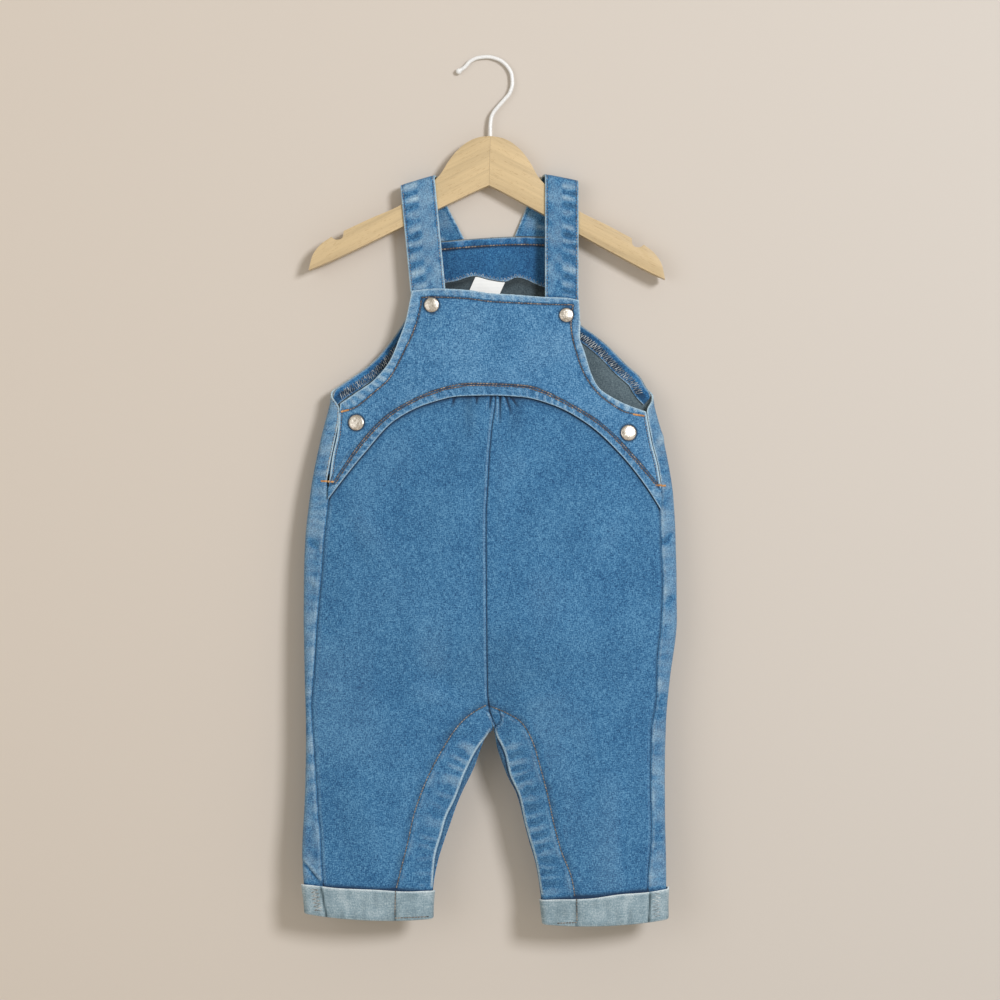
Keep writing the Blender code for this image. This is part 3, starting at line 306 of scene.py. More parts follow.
# Relief across a seam, row or edge, as bells over the distance from it, for height and for wear and
# painted shade.
# Each bell:  place, width, amount
ACROSS = {
    "gather": ([(-2.3, 1.1, 0.4), (0.0, GATHER_WIDTH, -1.2)], []),
    # A gather's trough gets painted shade, with a paler strip on one side
    "gather_shading": ([], [(-2.2, 0.9, 0.6), (0.0, 1.15, -1.7)]),
    "beside_gathers": ([], [(-15.0, 5.0, -0.3), (24.0, 7.0, -0.3)]),
    "front_seam": ([(0.0, 0.9, -0.75)], [(0.0, 0.8, -1.2)]),
    "front_allowance": ([(1.8, 1.3, 0.35)], [(1.4, 0.8, 0.35)]),
    "front_side_seam": ([(0.0, 0.9, -0.8)], [(0.0, 0.7, -0.7), (2.0, 0.8, 0.2)]),
    # Painted shadow of the yoke's arch edge on the leg panels below it
    "shadow_under_arch": ([], [(0.0, 1.7, -1.0), (0.0, 5.5, -0.3)]),
    # The inner leg row's last wear bell is painted shade just outside the row
    "inner_leg_row": ([(0.0, 1.2, -0.6), (2.6, 1.4, 0.25)],
                      [(0.0, 1.1, -0.8), (2.5, 0.9, 0.2), (-3.0, 2.2, -0.25)]),
    "inseam_edge": ([(-1.3, 1.2, 0.35)], [(-0.8, 0.75, 1.5)]),
    # Painted shadow under the inner leg's folded front edge
    "shadow_under_inseam_edge": ([], [(0.9, 0.8, -1.5)]),
    # A pleat's ridge is paler, and its fold beside it gets painted shade
    "pleat": ([(-0.3, 0.9, 0.3), (1.1, 0.8, -0.8)], [(-0.3, 0.8, 0.6), (1.1, 0.8, -1.1)]),
    # Painted shadow of the cuff's top edge on the leg above it
    "cuff_shadow": ([], [(0.0, 1.7, -1.2)]),
    "bib_row": ([(0.0, 0.9, -0.45)], [(0.0, 1.1, -1.4)]),
    "bib_edge": ([], [(0.0, 0.9, 1.2)]),
    "vent_edge": ([(TURN_STITCH, 0.8, -0.4)], [(0.7, 0.8, 0.6), (TURN_STITCH, 0.7, -0.8)]),
    "arch_rows": ([(ROW_SPACE, 0.75, -0.5), (-ROW_SPACE, 0.75, -0.5)],
                  [(ROW_SPACE, 0.75, -1.3), (-ROW_SPACE, 0.75, -1.3)]),
    "arch_edge": ([], [(0.0, 0.85, 1.2)]),
    # Painted shadow round a snap cap
    "snap_shadow": ([], [(0.0, 0.9, -1.1)]),
    "back_seam": ([(0.0, 0.9, -0.75)], [(0.0, 0.8, -0.9)]),
    "back_allowance": ([(2.2, 1.8, 0.5)], [(1.5, 1.1, 0.65)]),
    "back_side_seam": ([(3.0, 2.4, 0.45), (0.0, 0.9, -0.8)],
                       [(1.7, 0.9, 0.25), (0.0, 0.7, -0.7)]),
    "free_edge": ([], [(0.0, 1.0, 1.2)]),
    "free_row": ([(FREE_ROW, 0.9, -0.4)], [(FREE_ROW, 1.1, -0.45)]),
    "back_top": ([(TOP_ROW, 0.9, -0.4)], [(0.0, 0.9, 1.1), (TOP_ROW, 1.1, -0.4)]),
    "inner_leg_behind": ([(0.0, 1.1, -0.45)], [(0.0, 1.2, -0.5)]),
    # Painted shadow of the cuff's top edge on the leg above it, behind
    "cuff_shadow_behind": ([], [(0.0, 1.8, -0.7)]),
    "cuff_seam": ([(0.0, 0.8, -0.5)], [(0.0, 1.0, -1.5)]),
    "cuff_allowance": ([(3.5, 3.0, 0.35)], []),
    "cuff_row": ([(0.0, 0.9, -0.35)], [(0.0, 0.9, -0.8)]),
    "strap_row": ([(TURN_STITCH, 0.8, -0.3)], [(TURN_STITCH, 0.9, -0.45)]),
    # Painted shade on a strap where it goes behind the bib's top edge
    "strap_shade_at_bib": ([], [(0.0, 2.5, -0.9)]),
    # Below the neck row, painted shade of the crease under it
    "neck_row": ([(NECK_ROW, 0.9, 0.4)], [(0.8, 0.8, 0.8), (NECK_ROW + 0.6, 1.2, -1.2)]),
    "facing_foot": ([], [(0.0, 1.3, 1.3)]),
    "armhole_facing": ([(6.0, 1.0, 0.25)], [(0.9, 1.0, 0.9)]),
    "underlap_top": ([], [(0.0, 1.0, 0.9)]),
}

# ---------------------------------------------------------------- colours and stage

# Looks in the main denim:  tint of the three tones in the settings, worn colour, deep colour of dark
# seams and painted shade
TINTS = {
    "denim": ((1.0, 1.0, 1.0), (0.45, 0.60, 0.68), (0.010, 0.036, 0.085)),
    "denim_bib": ((1.42, 1.21, 1.15), (0.46, 0.61, 0.69), (0.010, 0.036, 0.085)),
    "denim_facing": ((0.56, 0.84, 0.98), (0.45, 0.60, 0.68), (0.007, 0.028, 0.068)),
}
# Tones of the wrong side inside the body, and on the cuffs, where a setting gives the main tone
INSIDE_TONES = [(0.05, 0.08, 0.10), (0.105, 0.15, 0.175), (0.19, 0.25, 0.27),
                (0.45, 0.52, 0.55), (0.012, 0.018, 0.022)]
WRONG_DARK, WRONG_LIGHT = (0.15, 0.235, 0.28), (0.42, 0.52, 0.55)
WRONG_WORN, WRONG_DEEP = (0.74, 0.82, 0.84), (0.05, 0.085, 0.10)
# Threads, from dark to pale
THREADS = {
    "brown": [(0.04, 0.032, 0.028), (0.15, 0.105, 0.075), (0.38, 0.31, 0.24)],
    "grey": [(0.05, 0.05, 0.05), (0.16, 0.14, 0.12), (0.32, 0.29, 0.25)],
    "orange": [(0.42, 0.20, 0.07), (0.60, 0.30, 0.10), (0.72, 0.42, 0.18)],
    "serging": [(0.06, 0.07, 0.08), (0.26, 0.30, 0.32), (0.62, 0.66, 0.66)],
    "beige": [(0.07, 0.07, 0.065), (0.24, 0.23, 0.21), (0.60, 0.59, 0.56)],
}
# Colour ramps:  place, colour
WIRE_COLOURS = [(0.3, (0.70, 0.70, 0.69)), (0.6, (0.84, 0.84, 0.83))]
NICKEL_COLOURS = [(0.3, (0.42, 0.37, 0.31)), (0.62, (0.74, 0.69, 0.61))]
LABEL_COLOURS = [(0.0, (0.80, 0.81, 0.80)), (1.0, (0.93, 0.93, 0.91))]
WALL_COLOURS = [(0.05, (0.62, 0.55, 0.475)), (0.95, (0.595, 0.55, 0.50))]
WALL_LETS_THROUGH = 0.6  # share of the bounced light
# Floor, half height of the wall, lights and camera, in metres
FLOOR_Z = -1.15
WALL_HALF = 2.0
AIR_COLOUR, AIR_STRENGTH = (1.0, 0.93, 0.80, 1.0), 0.505
LIGHT_MIDDLE = np.array([0.011, 0.0, -0.37])
LIGHT_COLOUR = (0.975, 1.0, 1.06)
# Lights:  name, direction from the garment, distance, size, share of the key power
LIGHTS = [("key", (0.60, -1.0, 0.36), 3.4, 0.85, 1.0),
          ("fill", (-0.9, -1.2, 0.1), 2.6, 1.8, 0.14)]
CAMERA_X, CAMERA_Z = 0.01087, -0.3716
CAMERA_ANGLE = 21.67     # degrees

skins = {}               # outer faces of the finished cloth, which sewing lies on


# ---------------------------------------------------------------- numbers and curves

def smooth(rows, column=1, key=0):
    """Smooth curve without overshoot through one column of a table."""
    table = sorted((row[key], row[column]) for row in rows)
    xs = np.array([pair[0] for pair in table])
    ys = np.array([pair[1] for pair in table])
    steps = np.diff(xs)
    rises = np.diff(ys) / steps
    slopes = np.zeros(len(xs))
    slopes[0], slopes[-1] = rises[0], rises[-1]
    for i in range(1, len(xs) - 1):
        if rises[i - 1] * rises[i] > 0:
            before = 2 * steps[i] + steps[i - 1]
            after = steps[i] + 2 * steps[i - 1]
            slopes[i] = (before + after) / (before / rises[i - 1] + after / rises[i])

    def at(x):
        x = np.clip(x, xs[0], xs[-1])
        i = np.clip(np.searchsorted(xs, x, side="right") - 1, 0, len(steps) - 1)
        t = (x - xs[i]) / steps[i]
        return (ys[i] * (1 + 2 * t) * (1 - t) ** 2 + ys[i + 1] * t * t * (3 - 2 * t)
                + slopes[i] * steps[i] * t * (1 - t) ** 2
                - slopes[i + 1] * steps[i] * t * t * (1 - t))
    return at


def route(points):
    """Smooth path through points, as a function of 0 to 1 along it."""
    lengths = [0.0]
    for a, b in zip(points, points[1:]):
        lengths.append(lengths[-1] + math.dist(a, b))
    rows = [(length / lengths[-1],) + tuple(p) for length, p in zip(lengths, points)]
    curves = [smooth(rows, column) for column in range(1, len(rows[0]))]
    return lambda t: np.stack([curve(t) for curve in curves], axis=-1)


def line(points, count=60):
    """Smooth line through points, as count points."""
    return route(points)(np.linspace(0, 1, count))


def ramp(x, low, high):
    """0 at low, 1 at high, with soft ends."""
    t = np.clip((x - low) / (high - low), 0.0, 1.0)
    return t * t * (3 - 2 * t)


def bell(x, width):
    return np.exp(-(x / width) ** 2)


def bells(distance, rows):
    """Sum of bells, each with its place, width and amount."""
    return sum((amount * bell(distance - place, width) for place, width, amount in rows), 0.0)


def lengths_along(path):
    """Length of a path from its start to each of its points."""
    return np.concatenate([[0.0], np.cumsum(np.linalg.norm(np.diff(path, axis=0), axis=1))])


def place_on(path, steps, length):
    """Point of a path at a length from its start."""
    return np.array([np.interp(length, steps, column) for column in path.T])


LATTICE = np.random.default_rng(11).uniform(-1, 1, (64, 64))


def cloudy(x, z, pitch, seed=0):
    """Smooth uneven height from -1 to 1, with hills about pitch apart."""
    gx, gz = x / pitch + 13.7 * seed, z / pitch + 7.3 * seed
    ix, iz = np.floor(gx).astype(int), np.floor(gz).astype(int)
    fx, fz = gx - ix, gz - iz
    fx, fz = fx * fx * (3 - 2 * fx), fz * fz * (3 - 2 * fz)
    low = LATTICE[ix % 64, iz % 64] * (1 - fx) + LATTICE[(ix + 1) % 64, iz % 64] * fx
    high = (LATTICE[ix % 64, (iz + 1) % 64] * (1 - fx)
            + LATTICE[(ix + 1) % 64, (iz + 1) % 64] * fx)
    return low * (1 - fz) + high * fz


def near(x, z, path):
    """Signed distance of points from a path, positive on its left, and place along it."""
    places = np.stack([x, z], axis=-1).reshape(-1, 1, 2)
    start, run = path[:-1], np.diff(path, axis=0)
    lengths = np.linalg.norm(run, axis=1)
    share = np.clip(((places - start) * run).sum(-1) / lengths ** 2, 0, 1)
    away = places - (start + share[..., None] * run)
    best = (away ** 2).sum(-1).argmin(1)
    row = np.arange(len(best))
    away = away[row, best]
    side = np.sign(run[best, 0] * away[:, 1] - run[best, 1] * away[:, 0])
    along = lengths_along(path)[best] + share[row, best] * lengths[best]
    distance = np.linalg.norm(away, axis=1) * side
    return distance.reshape(x.shape), along.reshape(x.shape)


SIDES = {"left": -1, "right": 1}
fold_x = {"left": smooth(OUTLINE, 1), "right": smooth(OUTLINE, 2)}
fold_y = smooth(BODY_DEPTH, 1)
body_swell = {"front": smooth(BODY_DEPTH, 2), "back": smooth(BODY_DEPTH, 3)}
leg_swell = {"front": smooth(LEG_DEPTH, 1), "back": smooth(LEG_DEPTH, 2)}
centre_x = smooth(CENTRE)
inseam_x = {"left": smooth(INSEAM, 1), "right": smooth(INSEAM, 2)}
back_top = smooth(BACK_TOP)
arch_z = smooth(ARCH)
facing_foot = smooth(NECK_FACING_FOOT)


# ---------------------------------------------------------------- the cloth's middle surface

def tip_x(side, z):
    """Middle of the cloth at the side fold."""
    return fold_x[side](z) - SIDES[side] * DENIM / 2


def inner_x(side, z):
    """Middle of the cloth at the centre seam, or at the inseam below the crotch."""
    clear = GAP / 2 + DENIM / 2 * ramp(z, CROTCH + 5, CROTCH)
    return np.where(z > CROTCH, centre_x(z), inseam_x[side](z)) + SIDES[side] * clear


def half_depth(side, sheet, x, z):
    """Distance of a sheet from the plane of the side folds."""
    left, right = tip_x("left", z), tip_x("right", z)
    across = np.clip((x - left) / (right - left), 0, 1)
    body = body_swell[sheet](z) * 4 * across * (1 - across)
    inner, outer = inner_x(side, z), tip_x(side, z)
    along = np.clip((x - inner) / (outer - inner), 0, 1)
    leg = leg_swell[sheet](z) * 4 * along * (1 - along)
    legs = ramp(z, CROTCH + 95, CROTCH)
    edge = 1.0
    for distance in (abs(outer - x), np.hypot(x - inner, np.maximum(z - CROTCH, 0.0))):
        edge = edge * np.sqrt(1 - (1 - np.clip(distance / FOLD, 0, 1)) ** 2)
    return FOLD * edge + (1 - legs) * body + legs * leg


def sheet_point(sheet, x, z, side):
    """Point of the front or back sheet."""
    way = -1 if sheet == "front" else 1
    x, z = np.broadcast_arrays(np.asarray(x, float), np.asarray(z, float))
    return np.stack([x, fold_y(z) + way * half_depth(side, sheet, x, z), z], axis=-1)


def whole_point(sheet, x, z):
    """Point of a sheet that runs over both sides of the body."""
    left, right = sheet_point(sheet, x, z, "left"), sheet_point(sheet, x, z, "right")
    return np.where((x < centre_x(z))[..., None], left, right)


def cloth_x(side, u, z):
    """Place across, at a distance u round from the side fold."""
    reach = abs(u)
    inward = np.where(reach < QUARTER, FOLD * (1 - np.cos(np.minimum(reach, QUARTER) / FOLD)),
                      FOLD + reach - QUARTER)
    return tip_x(side, z) - SIDES[side] * inward


def cloth_point(side, u, z):
    """Point of the tube at a distance u round from the side fold."""
    x = cloth_x(side, u, z)
    front, back = sheet_point("front", x, z, side), sheet_point("back", x, z, side)
    return np.where((u > 0)[..., None], front, back)


def round_from_fold(inward):
    """Distance along the cloth for an inward distance from the fold."""
    inward = np.asarray(inward, float)
    bent = FOLD * np.arccos(1 - np.clip(inward / FOLD, 0, 1))
    return np.where(inward < FOLD, bent, inward - FOLD + QUARTER)


def edge_curve(rows):
    """Edge of a back panel as a distance along the cloth, over z."""
    return smooth([(z, -math.copysign(float(round_from_fold(abs(d))), d)) for z, d in rows])


back_edge_u = {"left": edge_curve(BACK_EDGE_LEFT), "right": edge_curve(BACK_EDGE_RIGHT)}


def edge_lean(side, z):
    """How far the back's edge runs round the fold for each mm up."""
    return back_edge_u[side](z + 0.5) - back_edge_u[side](z - 0.5)


def beside_edge(side, z, inward):
    """u and z at a distance inward from the back's edge, square to it."""
    lean = edge_lean(side, z)
    length = np.hypot(1.0, lean)
    return back_edge_u[side](z) - inward / length, z + inward * lean / length


def centre_u(side, z):
    """Distance along the back sheet from the fold to the centre seam or the inseam."""
    return round_from_fold(abs(tip_x(side, z) - inner_x(side, z)))


def seam_x(side, z):
    """Side seam, and above it the free edge of the back panel."""
    return cloth_x(side, back_edge_u[side](z), z)


def hem_edges(side, x):
    """Heights of a cuff's top and bottom edge at a place across the leg."""
    top_side, top_seam, foot_side, foot_seam = CUFFS[side]
    outer, inner = tip_x(side, foot_side), inner_x(side, foot_side)
    across = np.clip((x - outer) / (inner - outer), 0.0, 1.0)
    dip = CUFF_DIP * 4 * across * (1 - across)
    top = top_side + (top_seam - top_side) * across
    return top, foot_side + (foot_seam - foot_side) * across - dip


# ---------------------------------------------------------------- relief: creases and sewing

CREASE_SHARE = {"front": 0.7, "bib": 0.5, "back": 1.0, "strip": 1.6}
ARCH_LINE = line(ARCH, 90)
BIB_RUNS = [SIDE_LEFT, ARMHOLE_LEFT, BIB_TOP, ARMHOLE_RIGHT, SIDE_RIGHT]
BIB_EDGE = np.concatenate([line(run, 26)[:-1] for run in BIB_RUNS] + [line(SIDE_RIGHT, 26)[-1:]])
BIB_ROW = np.concatenate([line(run, 40)[:-1] for run in (BIB_ROW_LEFT, BIB_ROW_TOP, BIB_ROW_RIGHT)])
ARCH_PATH = line(ARCH_ROW, 90)


def creases(sheet, x, z):
    """Height of the soft listed creases."""
    total = np.zeros_like(x)
    for x0, z0, x1, z1, bow, width, height in CREASES[sheet]:
        run = np.array([x1 - x0, z1 - z0])
        length = np.hypot(*run)
        run /= length
        along = ((x - x0) * run[0] + (z - z0) * run[1]) / length
        offset = (x - x0) * -run[1] + (z - z0) * run[0]
        inside = np.clip(along, 0, 1)
        fade = np.sin(math.pi * inside) ** 0.8
        total += height * fade * bell(offset - bow * 4 * inside * (1 - inside), width)
    return total


def drape(x, z, seed):
    """Slight unevenness of hanging cloth."""
    return 0.5 * cloudy(x, z * 0.6, 42.0, seed) + 0.16 * cloudy(x, z * 0.8, 15.0, seed + 1)


def puckers(distance, along, reach, pitch, seed):
    """Puckers across a row of stitches, from -1 to 1."""
    waves = cloudy(along, distance * 0.25, pitch, seed) + 0.5 * cloudy(along, distance * 0.3,
                                                                       pitch * 0.45, seed + 3)
    return waves * bell(distance, reach)


def strips(along, pitch, seed, sharp=1.0):
    """Uneven cross strips along a seam, from 0 between them to about 1."""
    level = np.zeros_like(along)
    phase = along / pitch + 0.45 * cloudy(along, level, pitch * 1.6, seed)
    strength = 0.7 + 0.5 * cloudy(along, level + 9.0, pitch * 2.1, seed + 2)
    return strength * (0.5 + 0.5 * np.cos(2 * math.pi * phase)) ** sharp


class Relief:
    """Height, and wear with painted shade, of a sheet, added up from its creases, seams, rows and edges.
    """

    def __init__(self, height, wear_and_shade):
        self.height, self.wear_and_shade = height, wear_and_shade

    def add(self, height=0.0, wear_and_shade=0.0, share=1.0):
        self.height = self.height + height * share
        self.wear_and_shade = self.wear_and_shade + wear_and_shade * share

    def across(self, name, distance, share=1.0):
        """Relief of a named seam, row or edge, at distances from it."""
        heights, wears = ACROSS[name]
        self.add(bells(distance, heights), bells(distance, wears), share)


def gather_relief(relief, x, z):
    """Small gathers under the arch, each paler on one side with painted shade in its trough, the painted
    shade beside them, and the painted shadow under the arch's edge.
    """
    below = np.maximum(arch_z(x) - z, 0.0)
    for middle, depth, length, lean in GATHERS:
        away = x - middle - lean * below
        tuck = np.maximum(1 - below / length, 0.0)
        relief.across("gather", away, depth * tuck)
        # Painted shade in each gather's trough, with a paler strip on one side
        relief.across("gather_shading", away, tuck ** 0.6)
    # Painted shade beside the gathers
    relief.across("beside_gathers", x, ramp(below, 60.0, 8.0))
    # Painted shadow under the arch's edge
    relief.across("shadow_under_arch", below)


def centre_relief(relief, sheet, side, x, z, share=1.0):
    """Centre seam, with its allowance behind the left panel."""
    inward = abs(x - inner_x(side, z))
    seam = ramp(z, CROTCH + 4, CROTCH + 14) * share
    relief.across(sheet + "_seam", inward, seam)
    if side == "left":
        relief.across(sheet + "_allowance", inward, seam)


def inseam_relief(relief, side, x, z):
    """Front edge of the inner leg, folded over the back's strip, with strips across it, a painted shadow
    under the edge and painted shade on the strip.
    """
    left = side == "left"
    distance, along = near(x, z, line(INSEAM_EDGE[side]))
    beyond = distance * -SIDES[side]
    live = ramp(z, CROTCH + 3, CROTCH - 4)
    strip = ramp(beyond, -0.2, 0.5) * live
    relief.across("inseam_edge", beyond, live)
    # Painted shade: the back's strip beyond the edge is sunk and darkened
    relief.add(-1.1 * strip, -0.3 * strip)
    relief.across("shadow_under_inseam_edge", beyond, live * (0.35 if left else ramp(z, -650.0, -610.0)))
    band = ramp(-beyond, 0.8, 2.6) * ramp(-beyond, 21.0, 8.0) * ramp(z, -568.0, -580.0)
    ridges = strips(along + 1.5 * cloudy(beyond, along, 5.0, 74), 11.5, 9 if left else 12)
    relief.add(0.6 * ridges, 0.8 * ridges - (0.18 if left else 0.36), band)


def leg_relief(side, x, z):
    """Height, and wear with painted shade, of a front leg panel."""
    sign = SIDES[side]
    fold = creases("front", x, z)
    # Crease ridges are a little paler as wear, their troughs a little darker as painted shade
    relief = Relief(CREASE_SHARE["front"] * fold + drape(x, z, 1),
                    0.04 * fold + 0.07 * cloudy(x, z * 0.5, 30.0, 5))
    gather_relief(relief, x, z)
    centre_relief(relief, "front", side, x, z)
    relief.across("front_side_seam", abs(x - seam_x(side, z)))
    distance, along = near(x, z, line(INNER_LEG[side]))
    ruck = puckers(distance, along, 6.0, 7.0, 3 if side == "left" else 6)
    # Row down the inner leg, with painted shade just outside it
    relief.across("inner_leg_row", -distance * sign)
    relief.add(0.35 * ruck, 0.22 * ruck)
    inseam_relief(relief, side, x, z)
    # Two pleats at the crotch, with painted shade in their folds
    for points, way in ((PLEAT_LEFT, 1.0), (PLEAT_RIGHT, -1.0)):
        relief.across("pleat", near(x, z, line(points, 14))[0] * way)
    # Painted shadow above the cuff
    relief.across("cuff_shadow", np.maximum(z - hem_edges(side, x)[0], 0))
    return relief


def bib_relief(x, z):
    """Height, and wear with painted shade round the snaps, of the bib and yoke."""
    relief = Relief(CREASE_SHARE["bib"] * creases("bib", x, z) + drape(x, z, 4) * 0.6,
                    0.07 * cloudy(x, z, 26.0, 8))
    # Hem along the row of stitches, with strips across it that are paler lower down
    edge = abs(near(x, z, BIB_EDGE)[0])
    row, place = near(x, z, BIB_ROW)
    above = ramp(z, -302.0, -297.0)
    hem = ramp(row, 0.0, 1.6) * above
    low = ramp(z, -222.0, -262.0)
    ridges = strips(place + 0.4 * row, 8.0, 15, 1.5) * hem * ramp(edge, 0.0, 1.2)
    relief.add(0.4 * hem + 0.45 * ridges, (0.4 + 0.45 * low) * ridges + (0.16 - 0.1 * low) * hem)
    relief.across("bib_row", row, above)
    relief.across("bib_edge", edge)
    relief.across("vent_edge", edge, (1 - above) * ramp(z, -364.0, -358.0))
    # Hem of the arch, below its double row
    arch = abs(near(x, z, ARCH_LINE)[0])
    row, place = near(x, z, ARCH_PATH)
    ridges = strips(place + 0.35 * row, 7.2, 19, 2.2) * ramp(-row, 0.9, 2.5)
    ridges = ridges * ramp(arch, 0.3, 1.6)
    relief.add(0.35 * ramp(-row, -1.0, 1.5) + 0.45 * ridges,
               0.75 * ridges - 0.25 * ramp(-row, 1.0, 3.0))
    relief.across("arch_rows", row)
    relief.across("arch_edge", arch)
    # Painted shadow in a ring round each snap cap
    for snap_x, snap_z, radius in SNAPS.values():
        away = np.hypot(x - snap_x, z - snap_z) - radius
        relief.across("snap_shadow", np.maximum(away - 0.3, 0))
    return relief


def back_relief(side, u, x, z):
    """Height, and wear with painted shade, of a back panel, with the strip that comes round to the front.
    """
    left = side == "left"
    behind = ramp(-u, -4.0, 4.0)
    fold = (CREASE_SHARE["back"] * creases("back", x, z) * behind
            + CREASE_SHARE["strip"] * creases("strip_" + side, x, z) * (1 - behind))
    # Crease ridges are paler as wear, their troughs darker as painted shade
    relief = Relief(fold + drape(u, z, 6),
                    (0.05 + 0.45 * (1 - behind)) * fold + 0.07 * cloudy(u, z * 0.5, 30.0, 9))
    whiskers = strips(z + 4.0 * cloudy(u, z, 9.0, 76), 10.0, 77 if left else 78)
    pale = (0.19 if left else 0.17) + 0.14 * cloudy(u * 1.5, z, 11.0, 70) + 0.2 * whiskers
    relief.add(wear_and_shade=pale, share=1 - behind)
    centre_relief(relief, "back", side, x, z, behind)
    # Side seam, and the free edges of the vent and the armhole above it
    outward = (back_edge_u[side](z) - u) / np.hypot(1.0, edge_lean(side, z))
    free = ramp(z, -360.0, -354.0)
    ruck = puckers(outward, z, 7.0, 8.0, 21 if left else 24)
    relief.add(0.3 * ruck, 0.4 * ruck)
    relief.across("back_side_seam", outward, 1 - free)
    relief.across("free_edge", outward, free)
    relief.across("free_row", outward, free * behind)
    relief.add(height=0.4 * ramp(outward, FREE_ROW + 1.4, FREE_ROW - 0.6), share=free * behind)
    corner = bell(z + 281.0, 7.0) * bell(u - 1.0, 8.0)
    relief.add(wear_and_shade=0.7 + 0.9 * cloudy(u, z, 2.6, 72), share=corner)
    # Top edge, inner leg row and the painted shadow on the cloth above the cuff
    down = back_top(x) - z
    relief.across("back_top", down)
    relief.add(height=0.4 * ramp(down, TOP_ROW + 2.0, TOP_ROW + 0.5))
    distance, along = near(x, z, line(INNER_LEG[side]))
    ruck = puckers(distance, along, 8.0, 8.5, 27)
    relief.add(0.15 * ruck, 0.25 * ruck, behind)
    relief.across("inner_leg_behind", distance, behind)
    relief.across("cuff_shadow_behind", np.maximum(z - hem_edges(side, x)[0], 0))
    return relief


# ---------------------------------------------------------------- meshes

def normals(grid, face, closed):
    """Unit normals of a grid of points, turned to the front, to the back or outwards."""
    if closed:
        ring = grid[:, :-1]
        across = np.roll(ring, -1, 1) - np.roll(ring, 1, 1)
        across = np.concatenate([across, across[:, :1]], axis=1)
    else:
        across = np.gradient(grid, axis=1)
    normal = np.cross(across, np.gradient(grid, axis=0))
    normal /= np.maximum(np.linalg.norm(normal, axis=2, keepdims=True), 1e-9)
    if face == "round":
        turned = np.sum(normal * (grid - grid.mean(axis=1, keepdims=True))) > 0
    else:
        turned = (normal[..., 1].sum() > 0) == (face == "back")
    return normal if turned else -normal


def finish_modifiers(obj):
    for modifier in list(obj.modifiers):
        bpy.ops.object.modifier_apply(modifier=modifier.name)


def grid_piece(name, points, uv, normal, closed=False):
    """Mesh grid, its vertices moved to rows and columns of points in millimetres."""
    rows, columns = points.shape[:2]
    bpy.ops.object.select_all(action="DESELECT")
    bpy.ops.mesh.primitive_grid_add(x_subdivisions=columns - 1, y_subdivisions=rows - 1, size=1.0)
    obj = bpy.context.object
    obj.name = name
    mesh = obj.data
    mesh.name = name
    if len(mesh.vertices) != rows * columns:
        raise RuntimeError(f"{name}: the grid has {len(mesh.vertices)} vertices")
    mesh.vertices.foreach_set("co", (points * MM).ravel())
    corners = np.empty(len(mesh.loops), dtype=int)
    mesh.loops.foreach_get("vertex_index", corners)
    mesh.uv_layers[0].data.foreach_set("uv", (uv.reshape(-1, 2)[corners] * MM).ravel())
    mesh.update()
    first = np.array(mesh.polygons[len(mesh.polygons) // 2].normal)
    middle = np.array(mesh.polygons[len(mesh.polygons) // 2].vertices)
    if first @ normal.reshape(-1, 3)[middle].mean(axis=0) < 0:
        mesh.flip_normals()
    if closed:
        bpy.ops.object.mode_set(mode="EDIT")
        bpy.ops.mesh.select_all(action="SELECT")
        bpy.ops.mesh.remove_doubles(threshold=1e-6)
        bpy.ops.object.mode_set(mode="OBJECT")
    return obj


def cloth(name, grid, thick, uv, relief, materials, face="front", closed=False, beyond=(),
          lift=0.0, edge=0.35, shade=None):
    """Cloth wall on middle points: moved out by its lift and relief, given a thickness and
    rounded at its edges. The finished outer and inner faces are kept for the sewing."""
    rows, columns = grid.shape[:2]
    wider = [np.asarray(beyond[0])[:, None]] if len(beyond) else []
    wider += [grid] + [np.asarray(after)[:, None] for after in beyond[1:]]
    normal = normals(np.concatenate(wider, axis=1), face, closed)
    if len(beyond):
        normal = normal[:, 1:columns + 1]
    middle = grid + normal * (np.broadcast_to(lift, (rows, columns)) + relief.height)[..., None]
    obj = grid_piece(name, middle, uv, normal, closed)
    mesh = obj.data
    tree = kdtree.KDTree(rows * columns)
    for index, place in enumerate((middle * MM).reshape(-1, 3)):
        tree.insert(place, index)
    tree.balance()
    flat = np.broadcast_to(relief.wear_and_shade, (rows, columns)).ravel()
    values = [flat[tree.find(vertex.co)[1]] for vertex in mesh.vertices] if closed else flat
    attribute = mesh.attributes.new("wear_and_shade", "FLOAT", "POINT")
    attribute.data.foreach_set("value", np.asarray(values, dtype=np.float32))
    if shade is not None:
        attribute = mesh.attributes.new("shade", "FLOAT", "POINT")
        attribute.data.foreach_set("value", shade.ravel().astype(np.float32))
    for material in materials:
        mesh.materials.append(material)
    shell = obj.modifiers.new("wall", "SOLIDIFY")
    shell.thickness = thick * MM
    shell.offset = 0.0
    shell.material_offset = len(materials) - 1
    rim = obj.modifiers.new("edges", "BEVEL")
    rim.width = edge * MM
    rim.segments = 2
    rim.limit_method = "ANGLE"
    rim.angle_limit = math.radians(70)
    finish_modifiers(obj)
    bpy.ops.object.shade_smooth_by_angle(angle=math.radians(50))
    skins[name] = (middle + normal * thick / 2, normal)
    skins[name + "_inside"] = (middle - normal * thick / 2, -normal)
    cell = np.cross(np.diff(grid, axis=0)[:, :-1], np.diff(grid, axis=1)[:-1])
    return obj, float(np.linalg.norm(cell, axis=2).sum()) * MM * MM


def stand_for(obj, node):
    """Ride on the body, and stand for a solid, which is hidden."""
    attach(obj, "root")
    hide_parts(node)


def declare(made, node):
    """Stand for the solid; the sheet's area that comes with it is not used."""
    obj, area = made
    stand_for(obj, node)


# ---------------------------------------------------------------- materials

